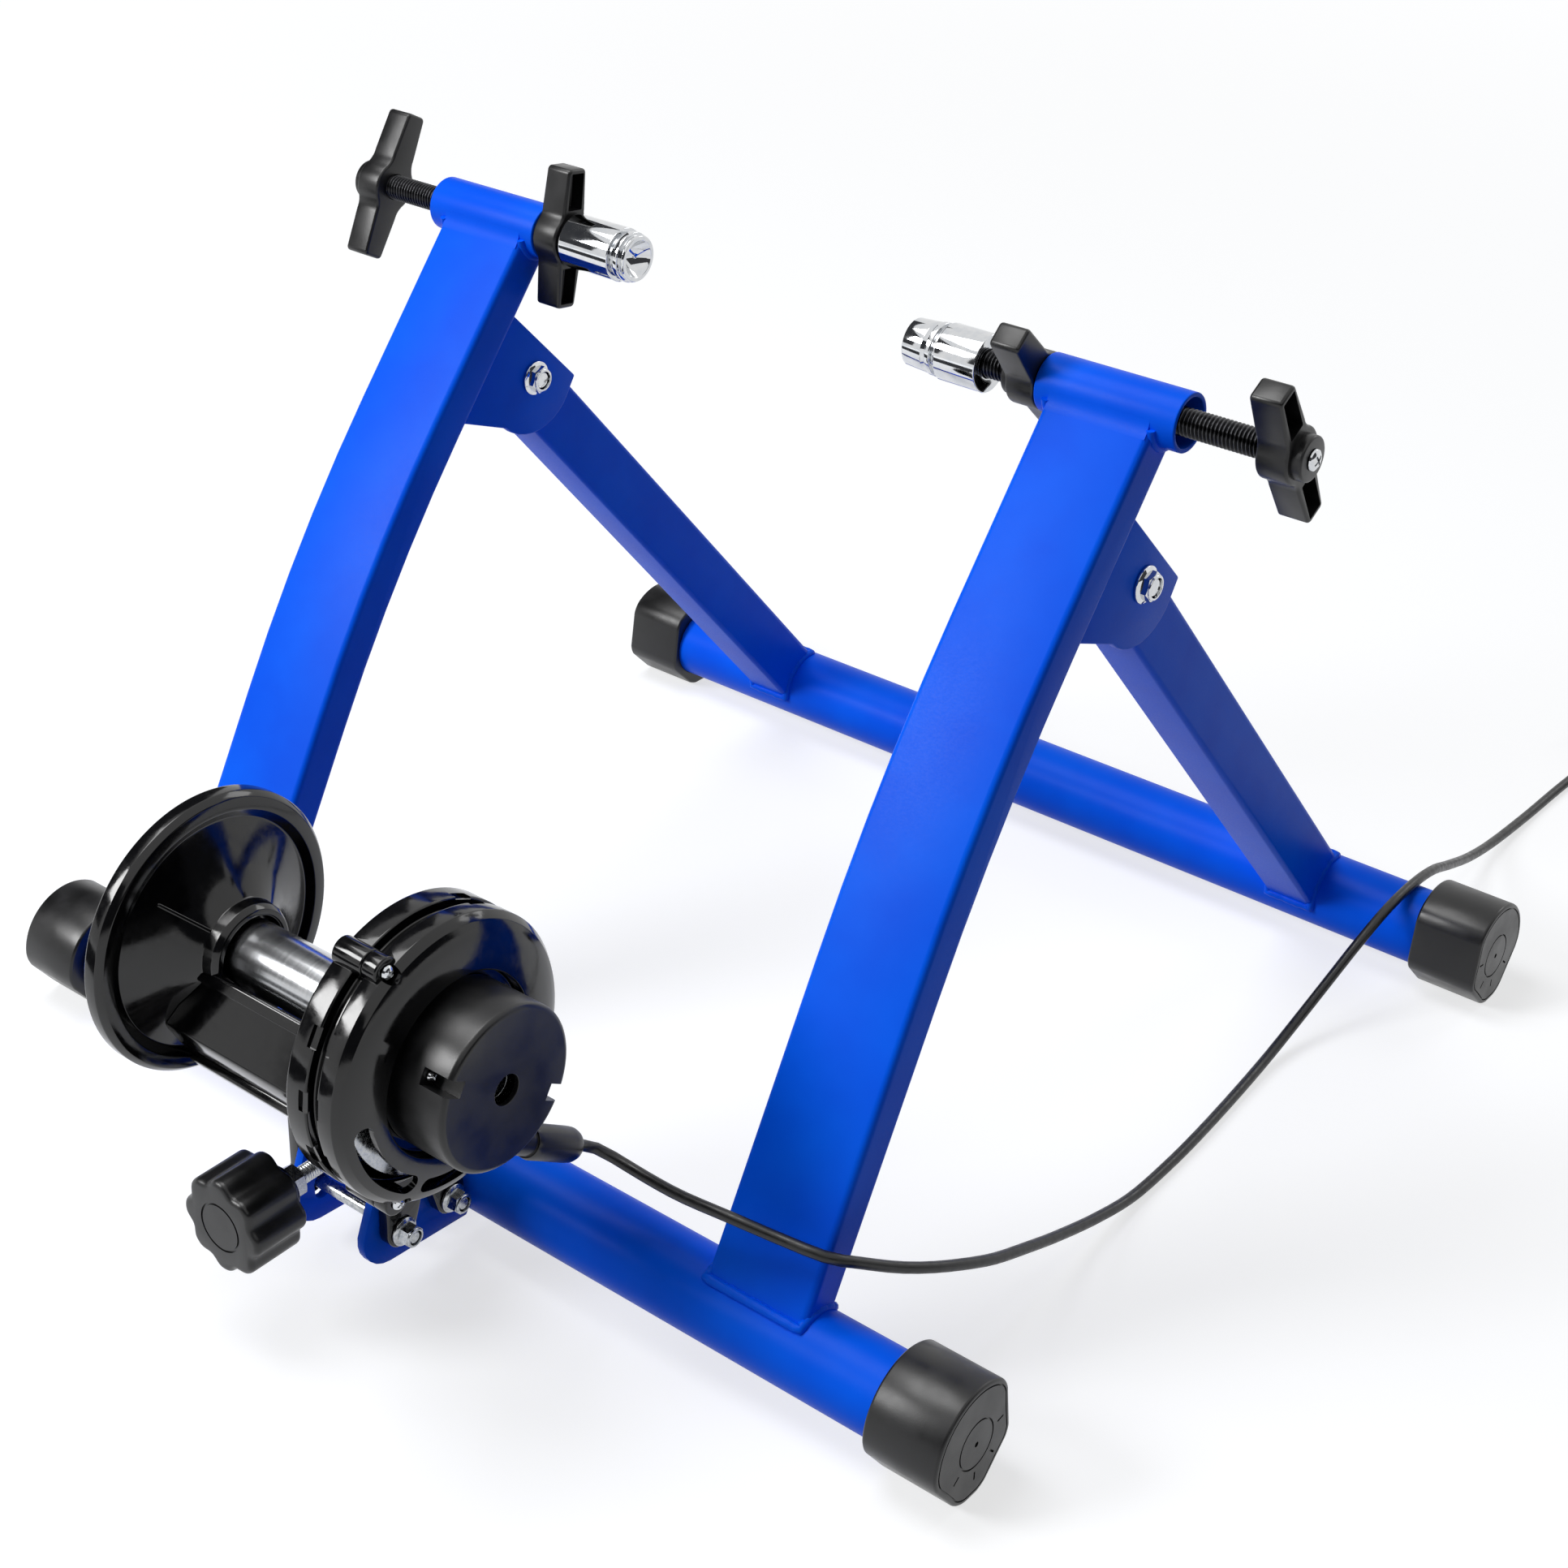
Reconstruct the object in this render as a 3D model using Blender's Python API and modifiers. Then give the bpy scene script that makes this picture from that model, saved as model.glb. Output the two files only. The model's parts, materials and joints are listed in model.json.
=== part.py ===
"""Folding home trainer: an A-shaped tube stand with two facing clamp screws, and a magnetic
resistance unit with a roller that a star knob swings on its bracket.

World axes: X along the rails, Y to the rear, Z up. "Right" pieces are on the +X side.
Lengths are metres. The clamp axis lies above Y = CLAMP_Y, and the floor is Z = 0.
"""
import bpy
import bmesh
from math import atan2, cos, degrees, hypot, pi, radians, sin, sqrt, tan
from mathutils import Matrix, Vector

MM = 0.001
GAP = 0.3 * MM                      # between pieces that touch on the real product
RUN = 0.2 * MM                      # radial running clearance of bolts and shafts

# Stand
STAND_WIDTH = 545 * MM
CLAMP_Y = 43.9 * MM                 # places the stand's middle at Y = 0
CLAMP_Z = 364.0 * MM
FRONT_RAIL = (CLAMP_Y - 210.5 * MM, 26.5 * MM)      # (Y, Z) of the rail axes
REAR_RAIL = (CLAMP_Y + 234.0 * MM, 26.5 * MM)
RAIL_R = 19.0 * MM
RAIL_WALL = 1.5 * MM
LEG_X = 169.0 * MM                  # middle of each side's legs
FRONT_LEG_WIDTH = 50.0 * MM
FRONT_LEG_DEPTH = 20.0 * MM
LEG_WALL = 1.5 * MM
LEG_CORNER = 3.0 * MM
LEG_SLOPE = atan2(CLAMP_Z - FRONT_RAIL[1], CLAMP_Y - FRONT_RAIL[0])
LOWER_LEAN = LEG_SLOPE + radians(3.65)      # front leg's slope below and above its long bend
UPPER_LEAN = LEG_SLOPE - radians(6.95)
BEND_TANGENT = 75.0 * MM
LEG_AHEAD_OF_RAIL = 15.8 * MM       # front face of the leg, in front of the rail's axis
LEG_AHEAD_OF_HEAD = 8.7 * MM
REAR_LEG_WIDTH = 26.0 * MM
REAR_LEG_DEPTH = 30.0 * MM
HEAD_R = 12.5 * MM
HEAD_BORE = 10.5 * MM
HEAD_INNER = 138.0 * MM             # X of the head tube's two ends
HEAD_OUTER = 203.5 * MM
HEAD_NUT = 12.0 * MM                # threaded length welded in the inner end

# Fold pivot
FOLD = (CLAMP_Y - 2.0 * MM, 290.5 * MM)
EAR_WIDTH = 44.0 * MM
EAR_PLATE = 3.0 * MM
EAR_R = 28.5 * MM
EAR_TOP = 39.5 * MM                 # along the leg, down from the clamp axis
EAR_FOOT = 96.0 * MM
EAR_EDGE = 16.5 * MM                # upper edge of the ear above the rear leg's axis
EAR_REACH = 24.6 * MM
FOLD_BOLT_R = 5.0 * MM

# Feet
FOOT_LENGTH = 35.0 * MM
FOOT_ROUND = 27.2 * MM
FOOT_END = 4.0 * MM
FOOT_FLATS = ((-142.0, 24.2 * MM), (-90.0, 26.5 * MM), (-45.0, 23.0 * MM), (8.0, 22.3 * MM))

# Clamp screws
ROD_R = 6.0 * MM
ROD_PITCH = 1.75 * MM
CUP_R = 12.5 * MM
CUP_LENGTH = 38.0 * MM
CUP_TIP = {1: 70.7 * MM, -1: 83.4 * MM}             # distance of each cup's mouth from the middle
CUP_HOLD = 12.0 * MM                # rod length held in the cup
CUP_NECK = {1: 17.5 * MM, -1: 8.6 * MM}             # from the mouth to the cup's full width
LOCK_SPAN = 14.0 * MM
LOCK_HALF = 32.5 * MM
HANDLE_HALF = 35.5 * MM
HANDLE_SPAN = 14.0 * MM
HANDLE_INNER = 239.0 * MM
HUB_R = 9.5 * MM
HUB_PROUD = 4.5 * MM
HANDLE_LEAN = {1: 120.0, -1: 62.0}                  # degrees from +Y, seen from the right
LOCK_LEAN = {1: 132.0, -1: 82.0}

# Resistance unit
UNIT = (CLAMP_Y - 287.0 * MM, 153.0 * MM)           # (Y, Z) of the roller's axis
UNIT_PIVOT = (CLAMP_Y - 238.8 * MM, 30.5 * MM)
UNIT_GUIDE = (CLAMP_Y - 268.0 * MM, 30.5 * MM)
UNIT_BOLT_R = 4.0 * MM
TILT_OUT = radians(8.0)             # how far the unit swings forward
PLATE_OUTER = {1: 13.0 * MM, -1: -34.0 * MM}        # outer face of each bracket plate
PLATE = 4.0 * MM
LUG = 6.0 * MM
SPINDLE_X = -9.5 * MM
SPINDLE_Z = 61.3 * MM
SPINDLE_R = 4.0 * MM
TRUNNION_Y = CLAMP_Y - 260.5 * MM
TRUNNION_R = 8.0 * MM
WALL_FRONT = CLAMP_Y - 244.5 * MM   # face of the yoke that the spindle pushes
WALL = 6.0 * MM
KNOB_FRONT = CLAMP_Y - 341.0 * MM
KNOB_BACK = CLAMP_Y - 313.0 * MM
KNOB_R = 22.3 * MM
KNOB_FLUTE = 2.6 * MM
KNOB_LOBES = 8
COLLAR_FRONT = CLAMP_Y - 306.0 * MM
COLLAR_BACK = CLAMP_Y - 299.5 * MM
SHAFT_R = 5.0 * MM
ROLLER_R = 14.3 * MM
ROLLER_LEFT = -44.0 * MM
ROLLER_RIGHT = 43.0 * MM
DRUM_R = 62.0 * MM
DRUM_LEFT = -72.0 * MM
DRUM_FACE = -62.5 * MM
FLYWHEEL_R = 45.0 * MM
BRAKE_R = 60.8 * MM
BRAKE_LEFT = 44.5 * MM
CAP_R = 35.0 * MM
CAP_FRONT = 101.0 * MM
BOSS_RADIUS = 60.5 * MM
BOSS_R = 6.0 * MM
BOSS_ANGLES = {"top": 118.0, "bottom": -118.0}
CABLE_DRUM_R = 25.3 * MM
GLAND_X = 85.0 * MM
GLAND_DROP = radians(33.0)
GLAND_END = 80.0 * MM              # end of the boot, from the foot of the cable's line

# Cable
CABLE_R = 2.5 * MM
COIL_TURNS = 4
COIL_PITCH = 5.6 * MM
COIL_MIDDLE = 27.6 * MM             # radius at the middle of the turns
COIL_CENTRE = (245.0 * MM, 562.0 * MM)
POINTS_PER_TURN = 24

AXIS_X = (pi / 2, 0.0, pi / 2)      # local z along world X, local x along Y, local y along Z
AXIS_Y = (-pi / 2, 0.0, 0.0)        # local z along world Y, local x along X, local y down
AXIS_Z = (0.0, 0.0, 0.0)

for old in list(bpy.data.objects):
    bpy.data.objects.remove(old, do_unlink=True)

parts = bpy.data.collections.new("bike_trainer")
cutters = bpy.data.collections.new("cutters")
bpy.context.scene.collection.children.link(parts)
bpy.context.scene.collection.children.link(cutters)


def material(name, colour, roughness, metallic=0.0):
    made = bpy.data.materials.new(name)
    made.use_nodes = True
    shader = made.node_tree.nodes["Principled BSDF"]
    shader.inputs["Base Color"].default_value = (*colour, 1.0)
    shader.inputs["Roughness"].default_value = roughness
    shader.inputs["Metallic"].default_value = metallic
    return made


BLUE = material("blue_powder_coat", (0.02, 0.16, 0.85), 0.25)
BLACK = material("black_plastic", (0.02, 0.02, 0.022), 0.35)
GLOSS = material("gloss_black_plastic", (0.012, 0.012, 0.014), 0.12)
RUBBER = material("black_rubber", (0.025, 0.025, 0.027), 0.6)
CHROME = material("chrome", (0.8, 0.8, 0.82), 0.08, 1.0)
ZINC = material("zinc_steel", (0.62, 0.63, 0.65), 0.28, 1.0)
STEEL = material("turned_steel", (0.7, 0.7, 0.72), 0.2, 1.0)
OXIDE = material("black_oxide_steel", (0.03, 0.03, 0.032), 0.3, 1.0)
ALUMINIUM = material("aluminium", (0.75, 0.75, 0.76), 0.3, 1.0)
MAGNET = material("magnet", (0.12, 0.12, 0.13), 0.4, 1.0)


def add_object(name, mesh, origin, axis, mat, smooth=True):
    made = bpy.data.objects.new(name, mesh)
    made.location = origin
    made.rotation_euler = axis
    if mat is None:
        made.hide_render = True
        made.display_type = "WIRE"
        cutters.objects.link(made)
    else:
        mesh.materials.append(mat)
        parts.objects.link(made)
    if smooth:
        mesh.shade_smooth()
        mesh.set_sharp_from_angle(angle=radians(35))
    return made


def turned(name, profile, origin, axis, mat, steps=16, start=0.0):
    """A profile of (radius, height) turned round local z. Its outer side runs from top to bottom.
    It either starts and ends on the axis or, off the axis, closes on itself."""
    mesh = bpy.data.meshes.new(name)
    points = [(r * cos(start), r * sin(start), h) for r, h in profile]
    links = [(i, i + 1) for i in range(len(points) - 1)]
    if profile[0][0] > 1e-7:
        links.append((len(points) - 1, 0))
    mesh.from_pydata(points, links, [])
    made = add_object(name, mesh, origin, axis, mat, smooth=False)
    screw = made.modifiers.new("turn", "SCREW")
    screw.axis = "Z"
    screw.angle = 2 * pi
    screw.steps = screw.render_steps = steps
    screw.use_merge_vertices = True
    screw.merge_threshold = 1e-6
    screw.use_normal_calculate = False
    screw.use_smooth_shade = True
    return made


def rod_profile(radius, low, high, chamfer=0.0):
    if chamfer:
        return [(0, high), (radius - chamfer, high), (radius, high - chamfer),
                (radius, low + chamfer), (radius - chamfer, low), (0, low)]
    return [(0, high), (radius, high), (radius, low), (0, low)]


def ring_profile(outer, inner, low, high):
    return [(outer, high), (outer, low), (inner, low), (inner, high)]


def slab(name, outline, low, high, origin, axis, mat, holes=(), bevel=0.0):
    """A flat outline of local (x, y) points, filled and given its thickness from low to high."""
    curve = bpy.data.curves.new(name, "CURVE")
    curve.dimensions = "2D"
    curve.fill_mode = "BOTH"
    curve.extrude = (high - low) / 2
    for loop in (outline, *holes):
        spline = curve.splines.new("POLY")
        spline.points.add(len(loop) - 1)
        for point, (x, y) in zip(spline.points, loop):
            point.co = (x, y, 0, 1)
        spline.use_cyclic_u = True
    mesh = curve_to_mesh(name, curve)
    mesh.transform(Matrix.Translation((0, 0, (low + high) / 2)))
    made = add_object(name, mesh, origin, axis, mat)
    if bevel:
        round_edges(made, bevel)
    return made


def curve_to_mesh(name, curve):
    carrier = bpy.data.objects.new(name + "_curve", curve)
    bpy.context.scene.collection.objects.link(carrier)
    bpy.context.view_layer.update()
    mesh = bpy.data.meshes.new_from_object(
        carrier.evaluated_get(bpy.context.evaluated_depsgraph_get()))
    bpy.data.objects.remove(carrier, do_unlink=True)
    bpy.data.curves.remove(curve)
    mesh.name = name
    mesh.materials.clear()
    work = bmesh.new()
    work.from_mesh(mesh)
    bmesh.ops.remove_doubles(work, verts=work.verts, dist=1e-6)
    bmesh.ops.dissolve_limit(work, angle_limit=radians(0.2), verts=work.verts, edges=work.edges)
    bmesh.ops.recalc_face_normals(work, faces=work.faces)
    work.to_mesh(mesh)
    work.free()
    return mesh


def round_edges(made, width, segments=1, angle=40):
    bevel = made.modifiers.new("round", "BEVEL")
    bevel.width = width
    bevel.segments = segments
    bevel.limit_method = "ANGLE"
    bevel.angle_limit = radians(angle)
    bevel.use_clamp_overlap = True
    return bevel


def combine(made, other, operation="DIFFERENCE"):
    step = made.modifiers.new(other.name, "BOOLEAN")
    step.operation = operation
    step.solver = "EXACT"
    step.object = other
    return made


def cut(made, *others):
    for other in others:
        combine(made, other)
    return made


def join(made, *others):
    for other in others:
        combine(made, other, "UNION")
    return made


def arc(centre, radius, first, last, count):
    """Points from one angle to another, in degrees."""
    span = [radians(first + (last - first) * i / count) for i in range(count + 1)]
    return [(centre[0] + radius * cos(a), centre[1] + radius * sin(a)) for a in span]


def polygon(radius, sides, turn=0.0):
    return [(radius * cos(turn + 2 * pi * i / sides), radius * sin(turn + 2 * pi * i / sides))
            for i in range(sides)]


def from_origin(points, origin):
    return [(y - origin[0], z - origin[1]) for y, z in points]


def mirrored(points, side):
    """X values of the right side, ordered low to high for either side."""
    return sorted(side * x for x in points)


def side_name(side):
    return "right" if side > 0 else "left"


# Rails

def rails():
    half = STAND_WIDTH / 2 - FOOT_END - GAP
    for name, (y, z) in (("front_rail", FRONT_RAIL), ("rear_rail", REAR_RAIL)):
        turned(name, ring_profile(RAIL_R, RAIL_R - RAIL_WALL, -half, half), (0, y, z), AXIS_X,
               BLUE, steps=24)


def cope(name, x, axis, radius):
    """Cutter that shapes a leg's end to the tube it is welded to."""
    return turned(name, rod_profile(radius + GAP, -FRONT_LEG_WIDTH, FRONT_LEG_WIDTH), (x, *axis), AXIS_X,
                  None, steps=24, start=radians(2))


# Front legs: a flat tube with one long bend, coped to the rail and to the head tube

def leg_side(offset, overrun=0.0):
    """Side view of a line in the leg, offset rearwards from its front face."""
    low, high = Vector(FRONT_RAIL), Vector((CLAMP_Y, CLAMP_Z))
    along1 = Vector((cos(LOWER_LEAN), sin(LOWER_LEAN)))
    along2 = Vector((cos(UPPER_LEAN), sin(UPPER_LEAN)))
    back1 = Vector((along1.y, -along1.x))
    back2 = Vector((along2.y, -along2.x))
    start = low - LEG_AHEAD_OF_RAIL * back1
    end = high - LEG_AHEAD_OF_HEAD * back2
    # Corner of the two front lines, then the arc that rounds it
    span = end - start
    reach = (span.x * along2.y - span.y * along2.x) / (along1.x * along2.y - along1.y * along2.x)
    corner = start + reach * along1
    radius = BEND_TANGENT / tan((LOWER_LEAN - UPPER_LEAN) / 2)
    centre = corner - BEND_TANGENT * along1 + radius * back1
    points = [start + offset * back1 - overrun * along1]
    for i in range(6):
        lean = LOWER_LEAN + (UPPER_LEAN - LOWER_LEAN) * i / 5
        points.append(centre - (radius - offset) * Vector((sin(lean), -cos(lean))))
    points.append(end + offset * back2 + overrun * along2)
    return [tuple(p) for p in points]


def front_leg(side):
    name = side_name(side) + "_front_leg"
    x = side * LEG_X
    half = FRONT_LEG_WIDTH / 2
    outline = leg_side(0) + leg_side(FRONT_LEG_DEPTH)[::-1]
    bore = leg_side(LEG_WALL, 6 * MM) + leg_side(FRONT_LEG_DEPTH - LEG_WALL, 6 * MM)[::-1]
    leg = slab(name, outline, -half, half, (x, 0, 0), AXIS_X, BLUE)
    round_edges(leg, LEG_CORNER, 2)
    cut(leg, cope(name + "_rail_cope", x, FRONT_RAIL, RAIL_R),
        cope(name + "_head_cope", x, (CLAMP_Y, CLAMP_Z), HEAD_R),
        slab(name + "_bore", bore, LEG_WALL - half, half - LEG_WALL, (x, 0, 0), AXIS_X, None))


def head_tube(side):
    profile = [(HEAD_R, HEAD_OUTER - 0.8 * MM), (HEAD_R, HEAD_INNER + 0.8 * MM),
               (HEAD_R - 0.8 * MM, HEAD_INNER), (ROD_R + GAP, HEAD_INNER),
               (ROD_R + GAP, HEAD_INNER + HEAD_NUT), (HEAD_BORE, HEAD_INNER + HEAD_NUT),
               (HEAD_BORE, HEAD_OUTER), (HEAD_R - 0.8 * MM, HEAD_OUTER)]
    return turned(side_name(side) + "_head_tube", flipped(profile, side), (0, CLAMP_Y, CLAMP_Z),
                  AXIS_X, BLUE, steps=18)


def flipped(profile, side):
    """The same turned profile on the right, or mirrored to the left, still top to bottom."""
    return profile if side > 0 else [(r, -h) for r, h in profile][::-1]


# Fold pivot: a U-shaped ear on the back of each front leg, with the rear leg between its cheeks

def rear_leg_axis():
    along = Vector(REAR_RAIL) - Vector(FOLD)
    length = along.length
    along /= length
    return along, Vector((-along.y, along.x)), length


def ear_outline(inset=0.0, reach=0.0):
    along, above, _ = rear_leg_axis()
    lean = Vector((cos(UPPER_LEAN), sin(UPPER_LEAN)))
    back = Vector((lean.y, -lean.x))
    face = Vector((CLAMP_Y, CLAMP_Z)) + (FRONT_LEG_DEPTH - LEG_AHEAD_OF_HEAD + GAP + inset) * back
    pivot = Vector(FOLD)
    top = face - EAR_TOP * lean
    foot = face - EAR_FOOT * lean
    corner = pivot + EAR_REACH * along + EAR_EDGE * above
    toe = degrees(atan2(along.y, along.x)) + 6
    round_end = arc(FOLD, EAR_R, toe, -135, 9)
    points = [tuple(foot), tuple(top), tuple(corner)] + round_end
    if reach:
        grown = [top + reach * lean - 0.0 * back, foot - reach * lean]
        far = 3 * EAR_R * back
        points = [tuple(grown[1]), tuple(grown[0]), tuple(grown[0] + far), tuple(grown[1] + far)]
    return points


def pivot_ear(side):
    name = side_name(side) + "_pivot_ear"
    low, high = mirrored((LEG_X - EAR_WIDTH / 2, LEG_X + EAR_WIDTH / 2), side)
    ear = slab(name, from_origin(ear_outline(), FOLD), low, high, (0, *FOLD), AXIS_X, BLUE)
    cut(ear, slab(name + "_slot", from_origin(ear_outline(EAR_PLATE, 10 * MM), FOLD),
                  low + EAR_PLATE, high - EAR_PLATE, (0, *FOLD), AXIS_X, None),
        turned(name + "_hole", rod_profile(FOLD_BOLT_R + GAP, low - 5 * MM, high + 5 * MM),
               (0, *FOLD), AXIS_X, None, steps=16))


def fold_bolt(side):
    """Hexagon head on the left of each pivot and a flanged nut on its right."""
    name = side_name(side)
    low = side * LEG_X - EAR_WIDTH / 2
    high = side * LEG_X + EAR_WIDTH / 2
    head = slab(name + "_fold_bolt", polygon(9.2 * MM, 6), low - GAP - 6.4 * MM, low - GAP,
                (0, *FOLD), AXIS_X, CHROME)
    join(head, turned(name + "_fold_shank",
                      rod_profile(FOLD_BOLT_R, low - 3 * MM, high + 11.5 * MM, 0.8 * MM),
                      (0, *FOLD), AXIS_X, None, steps=16))
    flange_nut(name + "_fold_nut", high + GAP, FOLD, FOLD_BOLT_R, 8.2 * MM, CHROME)


def flange_nut(name, start, axis, bolt_r, flat_r, mat):
    """A washer-faced hexagon nut standing on the plane X = start."""
    nut = turned(name, rod_profile(flat_r * 1.25, start, start + 1.6 * MM), (0, *axis), AXIS_X, mat)
    join(nut, slab(name + "_hexagon", polygon(flat_r, 6, radians(12)), start + 1.0 * MM,
                   start + 8.0 * MM, (0, *axis), AXIS_X, None))
    return cut(nut, turned(name + "_bore", rod_profile(bolt_r + RUN, start - MM, start + 9 * MM),
                           (0, *axis), AXIS_X, None, steps=12))


def rear_leg(side):
    name = side_name(side) + "_rear_leg"
    x = side * LEG_X
    half = REAR_LEG_WIDTH / 2
    along, above, length = rear_leg_axis()
    turn = degrees(atan2(above.y, above.x))

    def outline(reach, overrun):
        end = (length + overrun) * along
        return arc((0, 0), reach, turn, turn + 180, 10) + [tuple(end - reach * above),
                                                          tuple(end + reach * above)]
    leg = slab(name, outline(REAR_LEG_DEPTH / 2, 0), -half, half, (x, *FOLD), AXIS_X, BLUE,
               bevel=2.0 * MM)
    cut(leg, slab(name + "_bore", outline(REAR_LEG_DEPTH / 2 - LEG_WALL, 6 * MM),
                  LEG_WALL - half, half - LEG_WALL, (x, *FOLD), AXIS_X, None),
        cope(name + "_rail_cope", x, REAR_RAIL, RAIL_R),
        turned(name + "_hole", rod_profile(FOLD_BOLT_R + GAP, -2 * half, 2 * half), (x, *FOLD),
               AXIS_X, None))


# Levelling feet: off-centre caps with a flat for each height

def foot_outline():
    points = []
    for i in range(36):
        angle = 10.0 * i
        radius = FOOT_ROUND
        for flat, distance in FOOT_FLATS:
            near = cos(radians(angle - flat))
            if near > 0.3:
                radius = min(radius, distance / near)
        points.append((radius * cos(radians(angle)), radius * sin(radians(angle))))
    return points


def foot(name, side, rail, mirror=False):
    end = STAND_WIDTH / 2
    low, high = mirrored((end - FOOT_LENGTH, end), side)
    outline = foot_outline()
    if mirror:
        outline = [(-y, z) for y, z in outline][::-1]
    made = slab(name, outline, low, high, (0, *rail), AXIS_X, BLACK)
    bore = mirrored((end - FOOT_LENGTH - 5 * MM, end - FOOT_END), side)
    cut(made, turned(name + "_bore", rod_profile(RAIL_R + GAP, *bore), (0, *rail), AXIS_X, None, steps=24))


# Clamp screws

def clamp_rod(side):
    start = CUP_TIP[side] + CUP_LENGTH - CUP_HOLD
    end = HANDLE_INNER + HANDLE_SPAN - 3 * MM
    return turned(side_name(side) + "_clamp_rod",
                  flipped(rod_profile(ROD_R, start, end, 0.8 * MM), side),
                  (0, CLAMP_Y, CLAMP_Z), AXIS_X, OXIDE, steps=16)


def clamp_cup(side):
    tip = CUP_TIP[side]
    back = tip + CUP_LENGTH
    neck = tip + CUP_NECK[side]
    profile = [(CUP_R - 0.8 * MM, back), (CUP_R, back - 0.8 * MM), (CUP_R, neck),
               (9.8 * MM, neck - 0.4 * MM), (9.8 * MM, neck - 2.4 * MM), (11.6 * MM, neck - 2.8 * MM),
               (11.6 * MM, neck - 5.2 * MM), (9.8 * MM, neck - 5.6 * MM), (11.0 * MM, neck - 7.6 * MM),
               (10.4 * MM, tip), (8.6 * MM, tip), (0, tip + 12.0 * MM)]
    profile = [(0, back - CUP_HOLD - GAP), (ROD_R + GAP, back - CUP_HOLD - GAP),
               (ROD_R + GAP, back)] + profile
    return turned(side_name(side) + "_clamp_cup", flipped(profile, side), (0, CLAMP_Y, CLAMP_Z),
                  AXIS_X, CHROME)


def bar_outline(half, tip, waist, lean):
    """A two-winged bar: slim tips, a round hub, and hollow flanks between them."""
    quarter = [(half, -tip), (half, tip), (half * 0.42, tip + 1.4 * MM), (waist * 0.8, waist * 0.85)]
    crown = arc((0, 0), waist, 70, 110, 1)
    upper = quarter[1:] + crown + [(-x, y) for x, y in quarter[1:]][::-1]
    loop = upper + [(-x, -y) for x, y in upper]
    turn = radians(lean)
    return [(x * cos(turn) - y * sin(turn), x * sin(turn) + y * cos(turn)) for x, y in loop]


def wing_pocket(name, lean, half, depth_low, depth_high, flip):
    """The hollow in one wing of a moulded handle."""
    turn = radians(lean + (180 if flip else 0))
    loop = [(13.5 * MM, -4.6 * MM), (half - 2 * MM, -4.2 * MM), (half - 2 * MM, 4.2 * MM),
            (13.5 * MM, 4.6 * MM)]
    loop = [(x * cos(turn) - y * sin(turn), x * sin(turn) + y * cos(turn)) for x, y in loop]
    return slab(name, loop, depth_low, depth_high, (0, CLAMP_Y, CLAMP_Z), AXIS_X, None)


def winged(name, side, inner, span, half, lean, hub_from, hub_to, pocket, bore):
    """A moulded two-winged grip on the clamp axis. X distances are those of the right side."""
    at = (0, CLAMP_Y, CLAMP_Z)
    low, high = mirrored((inner, inner + span), side)
    grip = slab(name, bar_outline(half, 5.8 * MM, HUB_R + 1.0 * MM, lean), low, high, at, AXIS_X,
                BLACK, bevel=1.2 * MM)
    join(grip, turned(name + "_hub", flipped(rod_profile(HUB_R, hub_from, hub_to, 1.0 * MM), side),
                      at, AXIS_X, None))
    pocket = mirrored(pocket, side)
    for flip in (False, True):
        cut(grip, wing_pocket(name + "_pocket" + "ab"[flip], lean, half, *pocket, flip))
    cut(grip, turned(name + "_bore", flipped(rod_profile(*bore), side), at, AXIS_X, None, steps=16))
    return grip


def cross(reach, half, turn):
    """Outline of a cross-shaped screwdriver recess."""
    loop = []
    for i in range(4):
        for x, y in ((reach, -half), (reach, half), (half, half)):
            angle = radians(turn + 90 * i)
            loop.append((x * cos(angle) - y * sin(angle), x * sin(angle) + y * cos(angle)))
    return loop


def clamp_handle(side):
    name = side_name(side) + "_clamp_handle"
    end = HANDLE_INNER + HANDLE_SPAN
    grip = winged(name, side, HANDLE_INNER, HANDLE_SPAN, HANDLE_HALF, HANDLE_LEAN[side],
                  HANDLE_INNER + 2 * MM, end + HUB_PROUD, (end - 8 * MM, end + 2 * MM),
                  (ROD_R + GAP, HANDLE_INNER - 2 * MM, end - 3 * MM + GAP))
    cut(grip, turned(name + "_screw_hole",
                     flipped(rod_profile(2.2 * MM, end - 5 * MM, end + HUB_PROUD + 2 * MM), side),
                     (0, CLAMP_Y, CLAMP_Z), AXIS_X, None, steps=12))
    face = end + HUB_PROUD + GAP
    screw = [(0, face + 2.0 * MM), (2.6 * MM, face + 2.0 * MM), (4.6 * MM, face + 0.8 * MM),
             (4.6 * MM, face), (1.9 * MM, face), (1.9 * MM, end - 2.2 * MM), (0, end - 2.2 * MM)]
    head = turned(side_name(side) + "_handle_screw", flipped(screw, side), (0, CLAMP_Y, CLAMP_Z),
                  AXIS_X, CHROME, steps=12)
    cut(head, slab(head.name + "_recess", cross(2.6 * MM, 0.5 * MM, 35),
                   *mirrored((face + 0.7 * MM, face + 3 * MM), side), (0, CLAMP_Y, CLAMP_Z),
                   AXIS_X, None))


def lock_nut(side):
    inner = HEAD_INNER - GAP - LOCK_SPAN
    winged(side_name(side) + "_lock_nut", side, inner, LOCK_SPAN, LOCK_HALF, LOCK_LEAN[side],
           inner - (4.0 * MM if side > 0 else 0.0), HEAD_INNER - GAP - 1 * MM,
           (inner - 2 * MM, inner + 7 * MM), (ROD_R + GAP, inner - 8 * MM, HEAD_INNER + 5 * MM))


# Bracket plates on the front rail, and the spindle's cross nut between them

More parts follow.
